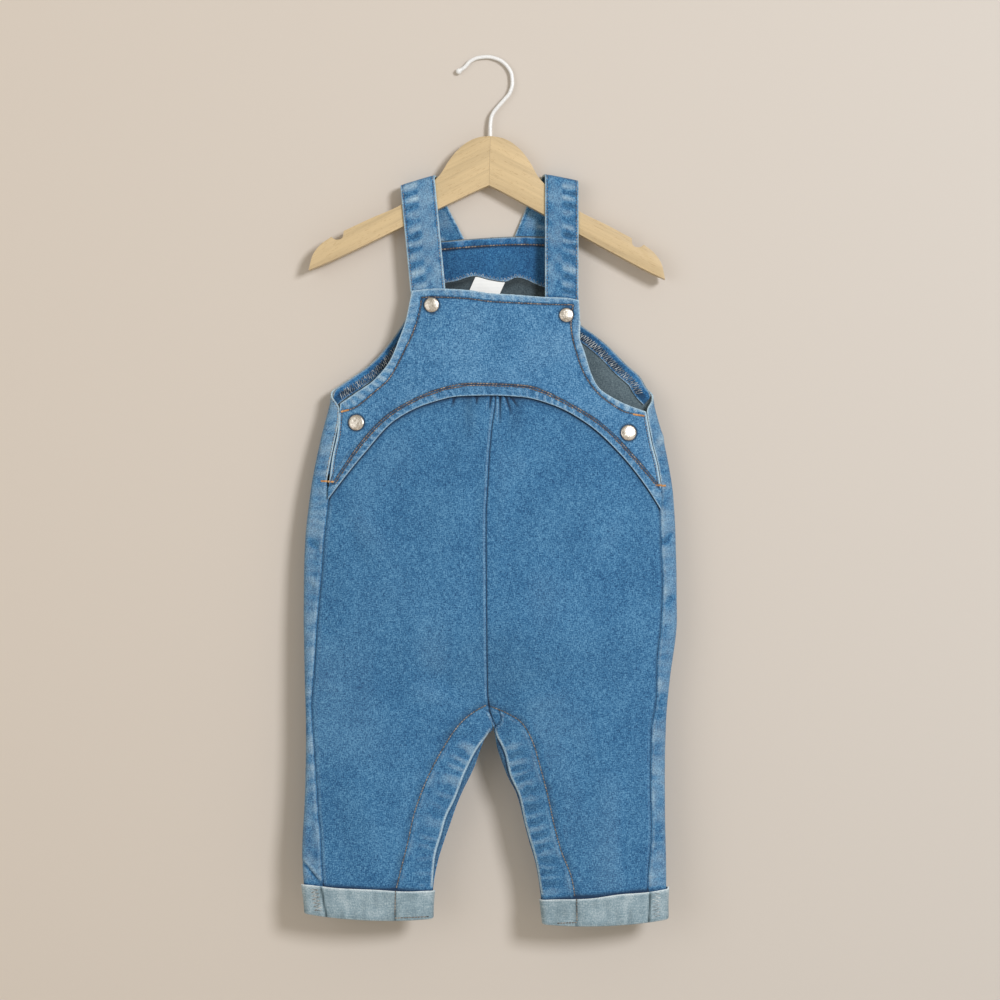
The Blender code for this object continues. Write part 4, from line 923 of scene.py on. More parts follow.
class Nodes:
    """A material and short ways to wire its nodes."""

    def __init__(self, name, roughness, metallic=0.0, **constants):
        self.material = bpy.data.materials.get(name) or bpy.data.materials.new(name)
        self.material.use_nodes = True
        self.tree = self.material.node_tree
        self.shader = self.tree.nodes["Principled BSDF"]
        self.output = self.tree.nodes["Material Output"]
        for node in list(self.tree.nodes):
            if node not in (self.shader, self.output):
                self.tree.nodes.remove(node)
        self.shader.inputs["Roughness"].default_value = roughness
        self.shader.inputs["Metallic"].default_value = metallic
        for socket, value in constants.items():
            self.shader.inputs[socket.replace("_", " ")].default_value = value

    def add(self, kind, inputs=(), **settings):
        node = self.tree.nodes.new("ShaderNode" + kind)
        for key, value in settings.items():
            setattr(node, key, value)
        for key, value in dict(inputs).items():
            self.put(node.inputs[key], value)
        return node

    def put(self, socket, value):
        if isinstance(value, bpy.types.NodeSocket):
            self.tree.links.new(value, socket)
        else:
            socket.default_value = value

    def math(self, operation, a, b=0.0, c=0.0):
        node = self.add("Math", operation=operation)
        for socket, value in zip(node.inputs, (a, b, c)):
            self.put(socket, value)
        return node.outputs[0]

    def mix(self, factor, a, b):
        node = self.add("Mix", data_type="RGBA")
        for socket, value in ((0, factor), (6, a), (7, b)):
            self.put(node.inputs[socket], value)
        return node.outputs[2]

    def coordinates(self, kind, scale, turn=(0.0, 0.0, 0.0)):
        """Coordinates, turned first and then scaled along the turned axes."""
        source = self.add("TexCoord").outputs[kind]
        if any(turn):
            source = self.add("Mapping", {"Vector": source, "Rotation": turn}).outputs[0]
        return self.add("Mapping", {"Vector": source, "Scale": scale}).outputs[0]

    def noise(self, kind, scale, detail=2.0, roughness=0.5, turn=(0.0, 0.0, 0.0)):
        vector = self.coordinates(kind, scale, turn)
        node = self.add("TexNoise", {"Vector": vector, "Scale": 1.0, "Detail": detail,
                                     "Roughness": roughness})
        return node.outputs[0]

    def ramp(self, factor, stops):
        node = self.add("ValToRGB", {"Fac": factor})
        elements = node.color_ramp.elements
        while len(elements) < len(stops):
            elements.new(0.5)
        for element, (place, colour) in zip(elements, stops):
            element.position = place
            element.color = (*colour, 1.0)
        return node.outputs[0]

    def finished(self, colour, height, distance, strength):
        """The material, with its colour and its bump wired."""
        node = self.add("Bump", {"Height": height, "Distance": distance, "Strength": strength})
        self.put(self.shader.inputs["Base Color"], colour)
        self.put(self.shader.inputs["Normal"], node.outputs[0])
        return self.material


def denim_cloth(name, dark, mid, light, worn, deep, speckle=1.28, slub=(330.0, 1250.0),
                shaded=False):
    """Twill: slubs along and across the cloth, worn pale on its ridges and edges, deep along dark seams
    and with painted shade in its troughs and under edges; with shaded, painted shade towards black.
    """
    nodes = Nodes(name, 0.88, Sheen_Weight=0.12, Sheen_Roughness=0.6, Specular_IOR_Level=0.25)
    warp = nodes.noise("UV", (1250.0, 330.0, 1.0), 3.0, 0.65)
    weft = nodes.noise("UV", (*slub, 1.0), 3.0, 0.65)
    grain = nodes.noise("UV", (850.0, 850.0, 1.0), 3.0, 0.75)
    cloud = nodes.noise("UV", (34.0, 22.0, 1.0), 3.0, 0.6)
    patch = nodes.noise("UV", (240.0, 130.0, 1.0), 2.0, 0.6)
    twill_place = nodes.coordinates("UV", (1150.0, 1150.0, 1.0), (0.0, 0.0, math.radians(58)))
    twill = nodes.add("TexWave", {"Vector": twill_place, "Scale": 0.32, "Distortion": 1.2,
                                  "Detail": 1.0, "Detail Scale": 2.0}, bands_direction="X")
    twill = twill.outputs[1]
    value = nodes.math("MULTIPLY_ADD", warp, 0.8 * speckle, -0.4 * speckle)
    for part, share in ((weft, 0.8), (grain, 1.2), (patch, 0.34)):
        value = nodes.math("ADD", value, nodes.math("MULTIPLY_ADD", part, share * speckle,
                                                    -share / 2 * speckle))
    value = nodes.math("ADD", value, nodes.math("MULTIPLY_ADD", twill, 0.10, 0.45))
    value = nodes.math("ADD", value, nodes.math("MULTIPLY_ADD", cloud, 0.34, -0.17))
    colour = nodes.ramp(value, [(0.22, dark), (0.5, mid), (0.78, light)])
    wear_and_shade = nodes.add("Attribute", attribute_name="wear_and_shade").outputs["Fac"]
    rough = nodes.math("MULTIPLY_ADD", grain, 2.8, -0.45)
    pale = nodes.math("MULTIPLY", nodes.math("MULTIPLY", wear_and_shade, rough), 0.62)
    deepened = nodes.math("MULTIPLY", wear_and_shade, -0.9)
    for factor, target in ((pale, worn), (deepened, deep)):
        clamped = nodes.add("Clamp", {"Value": factor}).outputs[0]
        colour = nodes.mix(clamped, colour, (*target, 1.0))
    if shaded:
        shade = nodes.add("Attribute", attribute_name="shade").outputs["Fac"]
        colour = nodes.mix(nodes.add("Clamp", {"Value": shade}).outputs[0], colour,
                           (0.0, 0.0, 0.0, 1.0))
    height = nodes.math("ADD", nodes.math("MULTIPLY", twill, 0.6), nodes.math("ADD", warp, grain))
    return nodes.finished(colour, height, 0.0003, 0.55)


def finish(name):
    """A look of the cloth by name."""
    looks = bpy.context.scene.dungarees.finish
    if name == "denim_inside":
        return denim_cloth(name, *INSIDE_TONES, 0.8, shaded=True)
    if name == "denim_wrong_side":
        return denim_cloth(name, WRONG_DARK, tuple(looks.wrong_side), WRONG_LIGHT, WRONG_WORN,
                           WRONG_DEEP, 0.95, (110.0, 1300.0))
    tint, worn, deep = TINTS[name]
    tones = [tuple(c * k for c, k in zip(tone, tint))
             for tone in (looks.denim_dark, looks.denim, looks.denim_light)]
    return denim_cloth(name, *tones, worn, deep)


def thread_material(thread):
    """Twisted thread whose colour changes from stitch to stitch."""
    nodes = Nodes("thread_" + thread, 0.7, Sheen_Weight=0.1)
    patches = nodes.noise("Object", (260.0, 260.0, 260.0), 2.0, 0.7)
    twist = nodes.noise("Object", (2600.0, 2600.0, 2600.0), 1.0)
    colour = nodes.ramp(patches, list(zip((0.34, 0.5, 0.64), THREADS[thread])))
    return nodes.finished(colour, twist, 0.0001, 0.5)


def wood_material(name, slope):
    """Pale varnished wood with its grain along one arm."""
    looks = bpy.context.scene.dungarees.finish
    nodes = Nodes(name, 0.42, Specular_IOR_Level=0.45, Coat_Weight=0.15, Coat_Roughness=0.35)
    turn = (0.0, math.radians(-slope), 0.0)
    fine = nodes.noise("Object", (14.0, 260.0, 420.0), 4.0, 0.6, turn=turn)
    broad = nodes.noise("Object", (5.0, 60.0, 85.0), 3.0, 0.5, turn=turn)
    pores = nodes.noise("Object", (210.0, 900.0, 1900.0), 2.0, 0.5, turn=turn)
    value = nodes.math("MULTIPLY_ADD", fine, 0.55, nodes.math("MULTIPLY", broad, 0.5))
    pale = tuple(looks.wood)
    colour = nodes.ramp(value, [(0.36, tuple(c * 0.82 for c in pale)), (0.52, pale),
                                (0.68, tuple(min(c * 1.12, 1.0) for c in pale))])
    specks = nodes.math("GREATER_THAN", pores, 0.645)
    colour = nodes.mix(nodes.math("MULTIPLY", specks, 0.42), colour, (0.34, 0.20, 0.08, 1.0))
    return nodes.finished(colour, fine, 0.0002, 0.25)


def wire_material():
    nodes = Nodes("white_coat", 0.3, Specular_IOR_Level=0.5)
    uneven = nodes.noise("Object", (700.0, 700.0, 700.0), 2.0)
    colour = nodes.ramp(uneven, WIRE_COLOURS)
    return nodes.finished(colour, uneven, 0.0001, 0.3)


def nickel_material():
    nodes = Nodes("snap_nickel", 0.3, 1.0)
    dents = nodes.noise("Object", (420.0, 420.0, 420.0), 3.0, 0.6)
    scratches = nodes.noise("Object", (2200.0, 2200.0, 400.0), 2.0)
    colour = nodes.ramp(dents, NICKEL_COLOURS)
    nodes.put(nodes.shader.inputs["Roughness"], nodes.math("MULTIPLY_ADD", scratches, 0.35, 0.15))
    return nodes.finished(colour, dents, 0.0006, 0.5)


def label_material():
    nodes = Nodes("label_tape", 0.7, Sheen_Weight=0.1)
    ribs = nodes.add("TexWave", {"Vector": nodes.coordinates("UV", (1.0, 1.0, 1.0)),
                                 "Scale": 260.0}, bands_direction="Y").outputs[1]
    colour = nodes.ramp(ribs, LABEL_COLOURS)
    return nodes.finished(colour, ribs, 0.0001, 0.4)


# ---------------------------------------------------------------- panels

# Distances from a panel's inner edge to its first columns of points
NEAR_EDGE = np.array([0.0, 0.2, 0.47, 0.9, 1.4, 1.95, 2.7, 3.5])
HIP_ROW, CUFF_ROWS_START = -395.0, -702.0
# Heights of the level rows of points:  start, end, step
LEVEL_RUNS = [(-397.0, -540.0, -1.8), (-540.0, CROTCH + 0.4, -1.2), (CROTCH, CROTCH - 0.1, -1.0),
              (CROTCH - 0.8, -590.0, -1.2), (-590.0, CUFF_ROWS_START, -1.7)]
LEVELS_DOWN = np.concatenate([np.arange(*run) for run in LEVEL_RUNS])
BACK_ROWS_TOP, LEVEL_BELOW = -152.0, -175.0   # between these, rows bend to follow the top edge
GHOST = 0.47             # step to the next panel's cloth past an inner edge


def past_inner(side, sheet, z):
    """Cloth just past a panel's inner edge, on the next panel."""
    other = "back" if sheet == "front" else "front"
    step = SIDES[side] * GHOST
    above = sheet_point(sheet, inner_x(side, z) - step, z, side)
    below = sheet_point(other, inner_x(side, z) + step, z, side)
    return np.where((z > CROTCH)[:, None], above, below)


def lap_z(x):
    """Upper edge of the leg panels, hidden under the yoke."""
    ends = abs(2 * (x - ARCH[0][0]) / (ARCH[-1][0] - ARCH[0][0]) - 1)
    return arch_z(x) + LAP * (1 - 0.6 * ramp(ends, 0.75, 1.0))


def front_leg(side, materials):
    """Front panel of one leg, from under the yoke's arch to the hem."""
    sign = SIDES[side]
    shares = np.linspace(0, 1, 70)[1:] ** 1.3

    def columns_x(z):
        inner = inner_x(side, z)[:, None]
        outer = (seam_x(side, z) - sign * GAP / 2)[:, None]
        start = inner + sign * NEAR_EDGE[-1]
        return np.concatenate([inner + sign * NEAR_EDGE, start + (outer - start) * shares], axis=1)

    count = len(NEAR_EDGE) + len(shares)

    def settle(height):
        """x and z along an edge whose height depends on the place across."""
        z = np.full(count, -330.0)
        for _ in range(12):
            x = np.array([columns_x(z[i:i + 1])[0, i] for i in range(count)])
            z = height(x)
        return z

    top, hem = settle(lap_z), settle(lambda x: hem_edges(side, x)[1] + CUFF_WALL)
    upper = np.linspace(0, 1, 62)[:, None] ** 1.25
    z = [top + (HIP_ROW - top) * upper, np.repeat(LEVELS_DOWN[:, None], count, axis=1),
         CUFF_ROWS_START + (hem - CUFF_ROWS_START) * np.linspace(0, 1, 12)[:, None]]
    z = np.concatenate(z)
    x = np.stack([columns_x(z[:, i])[:, i] for i in range(count)], axis=1)
    grid = sheet_point("front", x, z, side)
    grid[:, 0, 1] = np.minimum(grid[:, 0, 1], fold_y(z[:, 0]) - GAP / 2)
    return cloth("front_leg_" + side, grid, DENIM, np.stack([x, z], -1), leg_relief(side, x, z),
                 materials, beyond=(past_inner(side, "front", z[:, 0]),))


def back_panel(side, materials):
    """Back panel, from the back bib's top edge to the hem, round to the side seam."""
    spread = np.linspace(0, 1, 64)[1:]
    around = np.linspace(-QUARTER - 2.0, QUARTER + 2.0, 16)

    def columns_u(z):
        inner = -centre_u(side, z)[:, None]
        edge = (back_edge_u[side](z) - GAP / 2)[:, None]
        behind = np.arange(len(around), 0, -1)
        folded = np.minimum(around, edge - 1.4 * behind)
        start = inner + NEAR_EDGE[-1]
        middle = start + (folded[:, :1] - start) * spread[:-1]
        last = folded[:, -1:] + (edge - folded[:, -1:]) * np.linspace(0, 1, 9)[1:]
        return np.concatenate([inner + NEAR_EDGE, middle, folded, last], axis=1)

    levels = np.concatenate([np.arange(BACK_ROWS_TOP, HIP_ROW - 1.0, -1.7), LEVELS_DOWN,
                             [CUFF_ROWS_START - 1.5]])
    foot = np.linspace(0, 1, 12)[1:]
    count = columns_u(levels[:1]).shape[1]
    z = np.repeat(levels[:, None], count, axis=1)
    u = columns_u(levels)
    top = back_top(cloth_x(side, u[0], z[0]))
    near_top = levels[:, None] > LEVEL_BELOW
    z = np.where(near_top, z + (top - z[0]) * ramp(z, LEVEL_BELOW, BACK_ROWS_TOP), z)
    hem = hem_edges(side, cloth_x(side, u[-1], z[-1]))[1] + CUFF_WALL
    z = np.concatenate([z, z[-1] + (hem - z[-1]) * foot[:, None]])
    u = np.stack([columns_u(z[:, i])[:, i] for i in range(count)], axis=1)
    grid = cloth_point(side, u, z)
    grid[:, 0, 1] = np.maximum(grid[:, 0, 1], fold_y(z[:, 0]) + GAP / 2)
    inner = past_inner(side, "back", z[:, 0])
    outer = cloth_point(side, u[:, -1] + 1.0, z[:, -1])
    uv = np.stack([SIDES[side] * u, z], -1)
    x = grid[..., 0]
    # Painted shade inside the back near the neck opening, and more just below the neck facing's foot
    shade = 0.42 * ramp(z, -214.0, -198.0) * ramp(abs(x - 4.0), 88.0, 68.0)
    shade += 0.3 * bell(z - facing_foot(x) + 2.5, 3.5) * ramp(abs(x - 2.0), 62.0, 52.0)
    return cloth("back_" + side, grid, DENIM, uv, back_relief(side, u, x, z), materials,
                 face="back", beyond=(inner, outer), shade=shade)


def front_bib(materials):
    """Bib and yoke: columns run from the outer edge to the arch over the belly."""
    arch = route(ARCH)
    outer, inner = [], []
    for index, (run, count) in enumerate(zip(BIB_RUNS, (44, 96, 110, 96, 50))):
        low, high = ARCH_STATIONS[index:index + 2]
        t = np.linspace(0, 1, count + 1)
        t = t if index == len(BIB_RUNS) - 1 else t[:-1]
        outer.append(route(run)(t))
        inner.append(arch(low + (high - low) * t))
    outer, inner = np.concatenate(outer), np.concatenate(inner)
    length = np.linalg.norm(outer - inner, axis=1)
    r = np.linspace(0, 1, 48)[:, None]
    share = r - 0.085 * np.sin(2 * math.pi * r)
    reach = length * (1 - share)
    lapped, clear = np.minimum(LAP + 1.5, 0.55 * length), np.minimum(LAP + 5.5, 0.8 * length)
    lift = ON_TOP * ramp(reach, clear, lapped)
    place = inner + (outer - inner) * (reach / length)[..., None]
    x, z = place[..., 0], place[..., 1]
    return cloth("front_bib", whole_point("front", x, z), DENIM, place, bib_relief(x, z),
                 materials, lift=lift)


def cuff_rows(side, x, front):
    """Height, lift and wear of a cuff's rows, from its top edge round the curl at its foot."""
    top, foot = hem_edges(side, x)
    wave = cloudy(x, np.where(front, 0.0, 50.0), 26.0, 31)
    across = np.clip((x - x.min()) / (x.max() - x.min()), 0, 1)
    top = top + 0.9 * wave - CUFF_SAG[side] * np.sin(math.pi * across)
    out = DENIM / 2 + GAP + CUFF_WALL / 2
    curl = out / 2
    start = foot + curl + DENIM / 2
    rows = []
    for t in np.linspace(0, 1, 20):
        stand = 0.5 * (1 - t) ** 2 * (0.6 + 0.6 * wave)
        rows.append((top + (start - top) * t, out + stand,
                     1.4 * bell(t, 0.045) - 0.2 * bell(t - 1, 0.1)))
    for angle in np.radians((25, 50, 75, 90, 110, 140, 180)):
        rows.append((start - curl * math.sin(angle), curl + curl * math.cos(angle), 0.1))
    return (np.stack([np.broadcast_to(value, x.shape) for value in column])
            for column in zip(*rows))


def cuff(side, materials):
    """Turned-up cuff: a band round the end of the leg whose foot curls in under its cloth."""
    seam = float(centre_u(side, CUFF_MIDDLE))
    half = np.concatenate([np.linspace(0, 9, 10)[:-1], np.linspace(9, seam - 4, 66)[:-1],
                           np.linspace(seam - 4, seam, 7)])
    u = np.concatenate([half, -half[-2::-1]])
    z, lift, wear_and_shade = cuff_rows(side, cloth_x(side, u, np.full_like(u, CUFF_MIDDLE)), u > 0)
    turn = u / seam * centre_u(side, z)
    grid = cloth_point(side, turn, z)
    wear_and_shade = wear_and_shade + 0.22 * cloudy(turn, z, 8.0, 33) + 0.2 * cloudy(turn * 1.4, z * 0.3, 5.0, 34)
    relief = Relief(0.35 * cloudy(turn, z * 0.7, 18.0, 35) + 0.15 * cloudy(turn, z, 6.0, 37), wear_and_shade)
    _, _, top_seam, foot_seam = CUFF_SERGE[side]
    (top_row, _), (foot_row, _) = CUFF_ROW[side][:2]
    down = np.clip((z - z[0]) / (z[-8] - z[0]), 0, 1)
    front = np.where(turn > 0, 1.0, 0.0)
    apart = grid[..., 0] - top_seam - (foot_seam - top_seam) * down
    relief.across("cuff_seam", apart, front)
    relief.across("cuff_allowance", apart * SIDES[side], front)
    relief.across("cuff_row", grid[..., 0] - top_row - (foot_row - top_row) * down, front)
    relief.height = relief.height * ramp(np.arange(len(z)), 27.0, 21.0)[:, None]
    uv = np.stack([turn, z], -1)
    uv[:, -1, 0] = uv[:, -2, 0] + (uv[:, 1, 0] - uv[:, 0, 0])
    return cloth("cuff_" + side, grid, DENIM, uv, relief, materials, face="round", closed=True,
                 lift=lift, edge=0.5)


def strap_point(side, across, q):
    """Point at a place across a strap and a distance round its fold, front first."""
    sign = SIDES[side]
    top_x, top_z, tilt, lean, _, _, drift = STRAPS[side]
    tilt, lean = math.radians(tilt), math.radians(lean)
    along = np.array([-sign * math.cos(tilt), 0.0, math.sin(tilt)])
    up = np.array([sign * math.sin(tilt), 0.0, math.cos(tilt)])
    top = np.array([top_x, 0.0, top_z]) - up * STRAP_WALL / 2
    reach = abs(q)
    turn = np.clip((reach - STRAP_LAND) / STRAP_CORNER, 0, math.pi / 2)
    out = np.minimum(reach, STRAP_LAND) + STRAP_CORNER * np.sin(turn)
    drop = STRAP_CORNER * (1 - np.cos(turn)) + np.maximum(reach - STRAP_OVER, 0)
    run = (q + across * math.sin(lean)) / math.cos(lean)
    shift = run * math.sin(lean) + across * math.cos(lean)
    point = top + along * shift[..., None] - up * drop[..., None]
    point[..., 0] += drift * ramp(q, STRAP_OVER, STRAP_OVER + STRAP_EASE)
    point[..., 1] += np.sign(q) * out
    return point


def strap_relief(side, across, q, z):
    """Height and wear of a strap: bands over its seamed half, rows, pale edges, and painted shade where
    it goes behind the bib.
    """
    left = side == "left"
    width = STRAPS[side][4]
    inward = width / 2 - abs(across)
    seamed = ramp(-across * 2 / width, -0.06, 0.14) * ramp(inward, 1.2, 3.0)
    phase = q / STRAP_BAND + 0.3 * cloudy(q, across * 0.3, 14.0, 41 if left else 44)
    swing = np.sin(2 * math.pi * phase) * (0.7 + 0.3 * cloudy(q, across, 9.0, 46))
    bands = np.where(swing > 0, swing ** 2, -0.8 * abs(swing)) * seamed
    ruck = puckers(inward - TURN_STITCH, q, 2.5, 5.0, 47)
    relief = Relief(0.22 * ramp(inward, 0.5, 4.0) + 0.3 * bands + 0.2 * ruck,
                    bands + 0.25 * cloudy(across, q, 7.0, 48) + 0.3 * ruck)
    relief.add(wear_and_shade=np.where(q > STRAP_OVER, STRAP_WEAR["behind"], STRAP_WEAR[side]))
    relief.add(wear_and_shade=1.2 + 0.5 * cloudy(across, q, 2.5, 49), share=bell(inward, 0.9))
    relief.across("strap_row", inward)
    # Painted shade where the strap goes behind the bib
    relief.across("strap_shade_at_bib", np.maximum(z - STRAP_AT_BIB, 0), q < -STRAP_OVER)
    relief.height = relief.height * (0.4 + 0.6 * ramp(abs(q), 0.0, STRAP_OVER))
    return relief


def strap(side, materials):
    """Strap: a strip of two layers folded over the hanger on a tilted line."""
    _, top_z, _, lean, width, foot_z, _ = STRAPS[side]
    across = width * (np.linspace(0, 1, 17) - 0.5)
    across = across * (1 - 0.06 * (1 - abs(across * 2 / width)))
    end = np.full_like(across, 60.0)
    for _ in range(14):
        point = strap_point(side, across, end)
        end = end + point[:, 2] - (back_top(point[:, 0]) + GAP)
    foot = foot_z - top_z + across * math.sin(math.radians(lean)) * 0.5
    q = np.concatenate([
        foot + (-STRAP_OVER - foot) * np.linspace(0, 1, 100)[:-1, None],
        np.repeat(np.linspace(-STRAP_OVER, STRAP_OVER, 35)[:, None], len(across), axis=1),
        STRAP_OVER + (end - STRAP_OVER) * np.linspace(0, 1, 40)[1:, None],
    ])
    across = np.broadcast_to(across, q.shape)
    grid = strap_point(side, across, q)
    x, z = grid[..., 0], grid[..., 2]
    behind_bib = DENIM + GAP + (STRAP_WALL - DENIM) / 2
    bib = sheet_point("front", x, z, side)[..., 1] + behind_bib
    back = sheet_point("back", x, z, side)[..., 1]
    for leg, sheet, landing in ((q < -STRAP_OVER, bib, BIB_LANDING),
                                (q > STRAP_OVER, back, BACK_LANDING)):
        grid[..., 1] += np.where(leg, (sheet - grid[..., 1]) * ramp(z, *landing), 0.0)
    return cloth("strap_" + side, grid, STRAP_WALL - 0.3, np.stack([across, q], -1),
                 strap_relief(side, across, q, z), materials, edge=0.6)


def neck_facing(materials):
    """Facing inside the top of the back bib, serged along its lower edge."""
    margin = 0.8
    t = np.linspace(0, 1, 30)[:, None]
    across = np.linspace(0, 1, 96)
    x = np.zeros((30, 96))
    for _ in range(8):
        top = back_top(x) - margin
        z = top + (facing_foot(x) - top) * t
        left = seam_x("left", z) + margin
        x = left + (seam_x("right", z) - margin - left) * across
    drop = facing_foot(x) - z
    depth = back_top(x) - z
    ruck = puckers(depth - 3.5, x, 4.0, 5.5, 53)
    relief = Relief(-0.3 * ruck - 0.3 * cloudy(x, z, 24.0, 52),
                    0.6 * ruck + 0.2 * cloudy(x, z * 0.6, 13.0, 54) - 0.25)
    relief.add(-0.4 * ramp(depth, NECK_ROW + 2.0, NECK_ROW), 0.15 * ramp(depth, NECK_ROW, 1.0))
    relief.add(-0.35 * cloudy(x, z, 9.0, 51) * bell(drop, 6.0), -0.08 * ramp(depth, NECK_ROW, 12.0))
    relief.add(wear_and_shade=-0.5 * bell(x - 49.0 + 0.3 * drop, 3.5))
    # Pale top edge, and painted shade just below the row
    relief.across("neck_row", depth)
    relief.across("facing_foot", drop)
    return cloth("neck_facing", whole_point("back", x, z), FACING, np.stack([x, z], -1), relief,
                 materials, face="back", lift=INSIDE)


def armhole_facing(side, materials):
    """Facing inside the back's armhole edge."""
    z = np.linspace(-197.0, -283.0, 84)[:, None]
    inward = np.linspace(0.9, ARMHOLE_FACING, 14)
    u, z = beside_edge(side, z, inward)
    ruck = puckers(inward - 8.0, z, 6.0, 5.0, 57)
    ragged = 1.0 + 0.8 * cloudy(u, z, 2.2, 58)
    relief = Relief(-0.3 * ruck, 0.5 * ruck - 0.2)
    relief.add(wear_and_shade=1.1 * ragged * bell(inward - ARMHOLE_FACING, 1.3))
    relief.add(wear_and_shade=-0.8 * ramp(inward, 4.6, 6.4) * ramp(inward, 12.4, 10.5))
    relief.across("armhole_facing", inward)
    return cloth("armhole_facing_" + side, cloth_point(side, u, z), FACING, np.stack([u, z], -1),
                 relief, materials, face="back", lift=INSIDE)


def side_underlap(side, materials):
    """Underlap of a side vent, inside the back's front edge and under the yoke."""
    z = np.linspace(UNDERLAP_TOP, UNDERLAP_FOOT, 30)[:, None]
    edge = back_edge_u[side](z)
    start = np.maximum(edge - UNDERLAP_BEHIND, UNDERLAP_FROM_FOLD)
    u = start + (edge + UNDERLAP_BEYOND - start) * np.linspace(0, 1, 14)
    z = np.broadcast_to(z, u.shape)
    # Painted shade: the underlap under the yoke is darkened all over
    relief = Relief(0.0, -0.5 + 0.0 * u)
    relief.across("underlap_top", UNDERLAP_TOP - z)
    return cloth("side_underlap_" + side, cloth_point(side, u, z), DENIM, np.stack([u, z], -1),
                 relief, materials, lift=-ON_TOP)


def neck_label(materials):
    """Blank label that hangs from the neck facing's lower edge."""
    drop = np.linspace(0, 1, 16)[:, None]
    x = LABEL_LEFT + (LABEL_RIGHT - LABEL_LEFT) * np.linspace(0, 1, 22)
    z = facing_foot(x) - 2 * GAP
    y = whole_point("back", x, z)[:, 1] + INSIDE
    down = drop * LABEL_HEIGHT
    grid = np.stack([x + LABEL_SLANT * down, y - LABEL_LEAN * down, z - down], axis=-1)
    height = 0.5 * np.sin(math.pi * drop) * np.sin(2.5 * x / 10)
    return cloth("neck_label", grid, LABEL_WALL, grid[..., ::2].copy(), Relief(height, 0.0),
                 materials, edge=0.12)


# ---------------------------------------------------------------- hard pieces

def hang(x, z):
    """Hanger's own frame to the part's."""
    turn = math.radians(HANGER_TURN)
    return (HANGER_APEX[0] + x * math.cos(turn) - z * math.sin(turn),
            HANGER_APEX[1] + x * math.sin(turn) + z * math.cos(turn))


def arm_weights(arm, apex, foot):
    """Bevel weights: full on the long edges, less round the notch, none on the mitre."""
    weights = arm.data.attributes.new("bevel_weight_edge", "FLOAT", "EDGE")
    for item in arm.data.edges:
        a, b = (arm.data.vertices[i].co for i in item.vertices)
        high = abs(a.z - b.z) > 0.03
        mitre = high and (abs(a.x - apex[0]) < 0.002 and abs(b.x - foot[0]) < 0.002
                          or (a - b).length > 0.035)
        notch = abs(a.x / MM - HANGER_APEX[0]) > ARM_TOP[-1][0] and a.z / MM > NOTCH_FLOOR
        if abs(a.y - b.y) < 1e-6 and not mitre:
            weights.data[item.index].value = 0.4 if notch else 1.0


def hanger_arm(side):
    """Flat wooden arm with rounded long edges, cut square where the arms meet."""
    runs = [(ARM_TOP, 64), (ARM_TOP[-1:] + ARM_NOTCH, 18), (ARM_NOTCH[-1:] + ARM_END, 22),
            (ARM_END[-1:] + ARM_FOOT, 40)]
    outline = np.concatenate([line(run, count)[:-1] for run, count in runs] + [[ARM_FOOT[-1]]])
    edge = np.array([hang(SIDES[side] * max(x, MITRE_GAP), z) for x, z in outline])
    count = len(edge)
    bpy.ops.object.select_all(action="DESELECT")
    bpy.ops.mesh.primitive_circle_add(vertices=count, radius=0.1, fill_type="NGON")
    arm = bpy.context.object
    arm.name = arm.data.name = "wood_arm_" + side
    places = np.stack([edge[:, 0], np.full(count, -HANGER_THICK / 2), edge[:, 1]], axis=1)
    arm.data.vertices.foreach_set("co", (places * MM).ravel())
    bpy.ops.object.mode_set(mode="EDIT")
    bpy.ops.mesh.select_all(action="SELECT")
    bpy.ops.mesh.extrude_region_move(
        TRANSFORM_OT_translate={"value": (0.0, HANGER_THICK * MM, 0.0)})
    bpy.ops.mesh.select_all(action="SELECT")
    bpy.ops.mesh.normals_make_consistent(inside=False)
    bpy.ops.object.mode_set(mode="OBJECT")
    arm_weights(arm, places[0] * MM, places[-1] * MM)
    bevel = arm.modifiers.new("rounded", "BEVEL")
    bevel.limit_method = "WEIGHT"
    bevel.width = HANGER_ROUND * MM
    bevel.segments = 5
    finish_modifiers(arm)
    bpy.ops.object.shade_smooth_by_angle(angle=math.radians(35))
    arm.data.materials.append(wood_material("wood_" + side, ARM_SLOPE * SIDES[side]))
    stand_for(arm, "hanger_arm_" + side)


def hook():
    """Bent wire with a ball at its tip, its foot set in the arms."""
    path = route(HOOK_ROUTE)
    length = sum(math.dist(a, b) for a, b in zip(HOOK_ROUTE, HOOK_ROUTE[1:]))
    step = 2e-3
    start = path(0.0)
    ahead = (path(step) - start) / np.linalg.norm(path(step) - start)
    rings = []
    for angle in (180, 165, 150, 135, 118, 100, 82, 66, 52):
        away = TIP_BALL * math.cos(math.radians(angle))
        rings.append((start + ahead * away, TIP_BALL * math.sin(math.radians(angle)), ahead))
    first = TIP_BALL * math.sqrt(1 - (WIRE / TIP_BALL) ** 2) / length
    for t in np.linspace(first, 1.0, 150):
        run = path(min(t + step, 1.0)) - path(max(t - step, 0.0))
        rings.append((path(t), WIRE, run / np.linalg.norm(run)))
    rings.append((path(1.0), 0.0, rings[-1][2]))
    angles = np.linspace(0, 2 * math.pi, 25)
    points = []
    for (x, z), radius, (tx, tz) in rings:
        across, out = radius * np.cos(angles), radius * np.sin(angles)
        points.append(np.stack([x - tz * across, out, z + tx * across], axis=-1))
    points = np.array(points)
    normal = points - points.mean(axis=1, keepdims=True)
    wire = grid_piece("hook_wire", points, points[..., ::2], normal, closed=True)
    bpy.ops.object.shade_smooth_by_angle(angle=math.radians(60))
    wire.data.materials.append(wire_material())
    stand_for(wire, "hanger_hook")


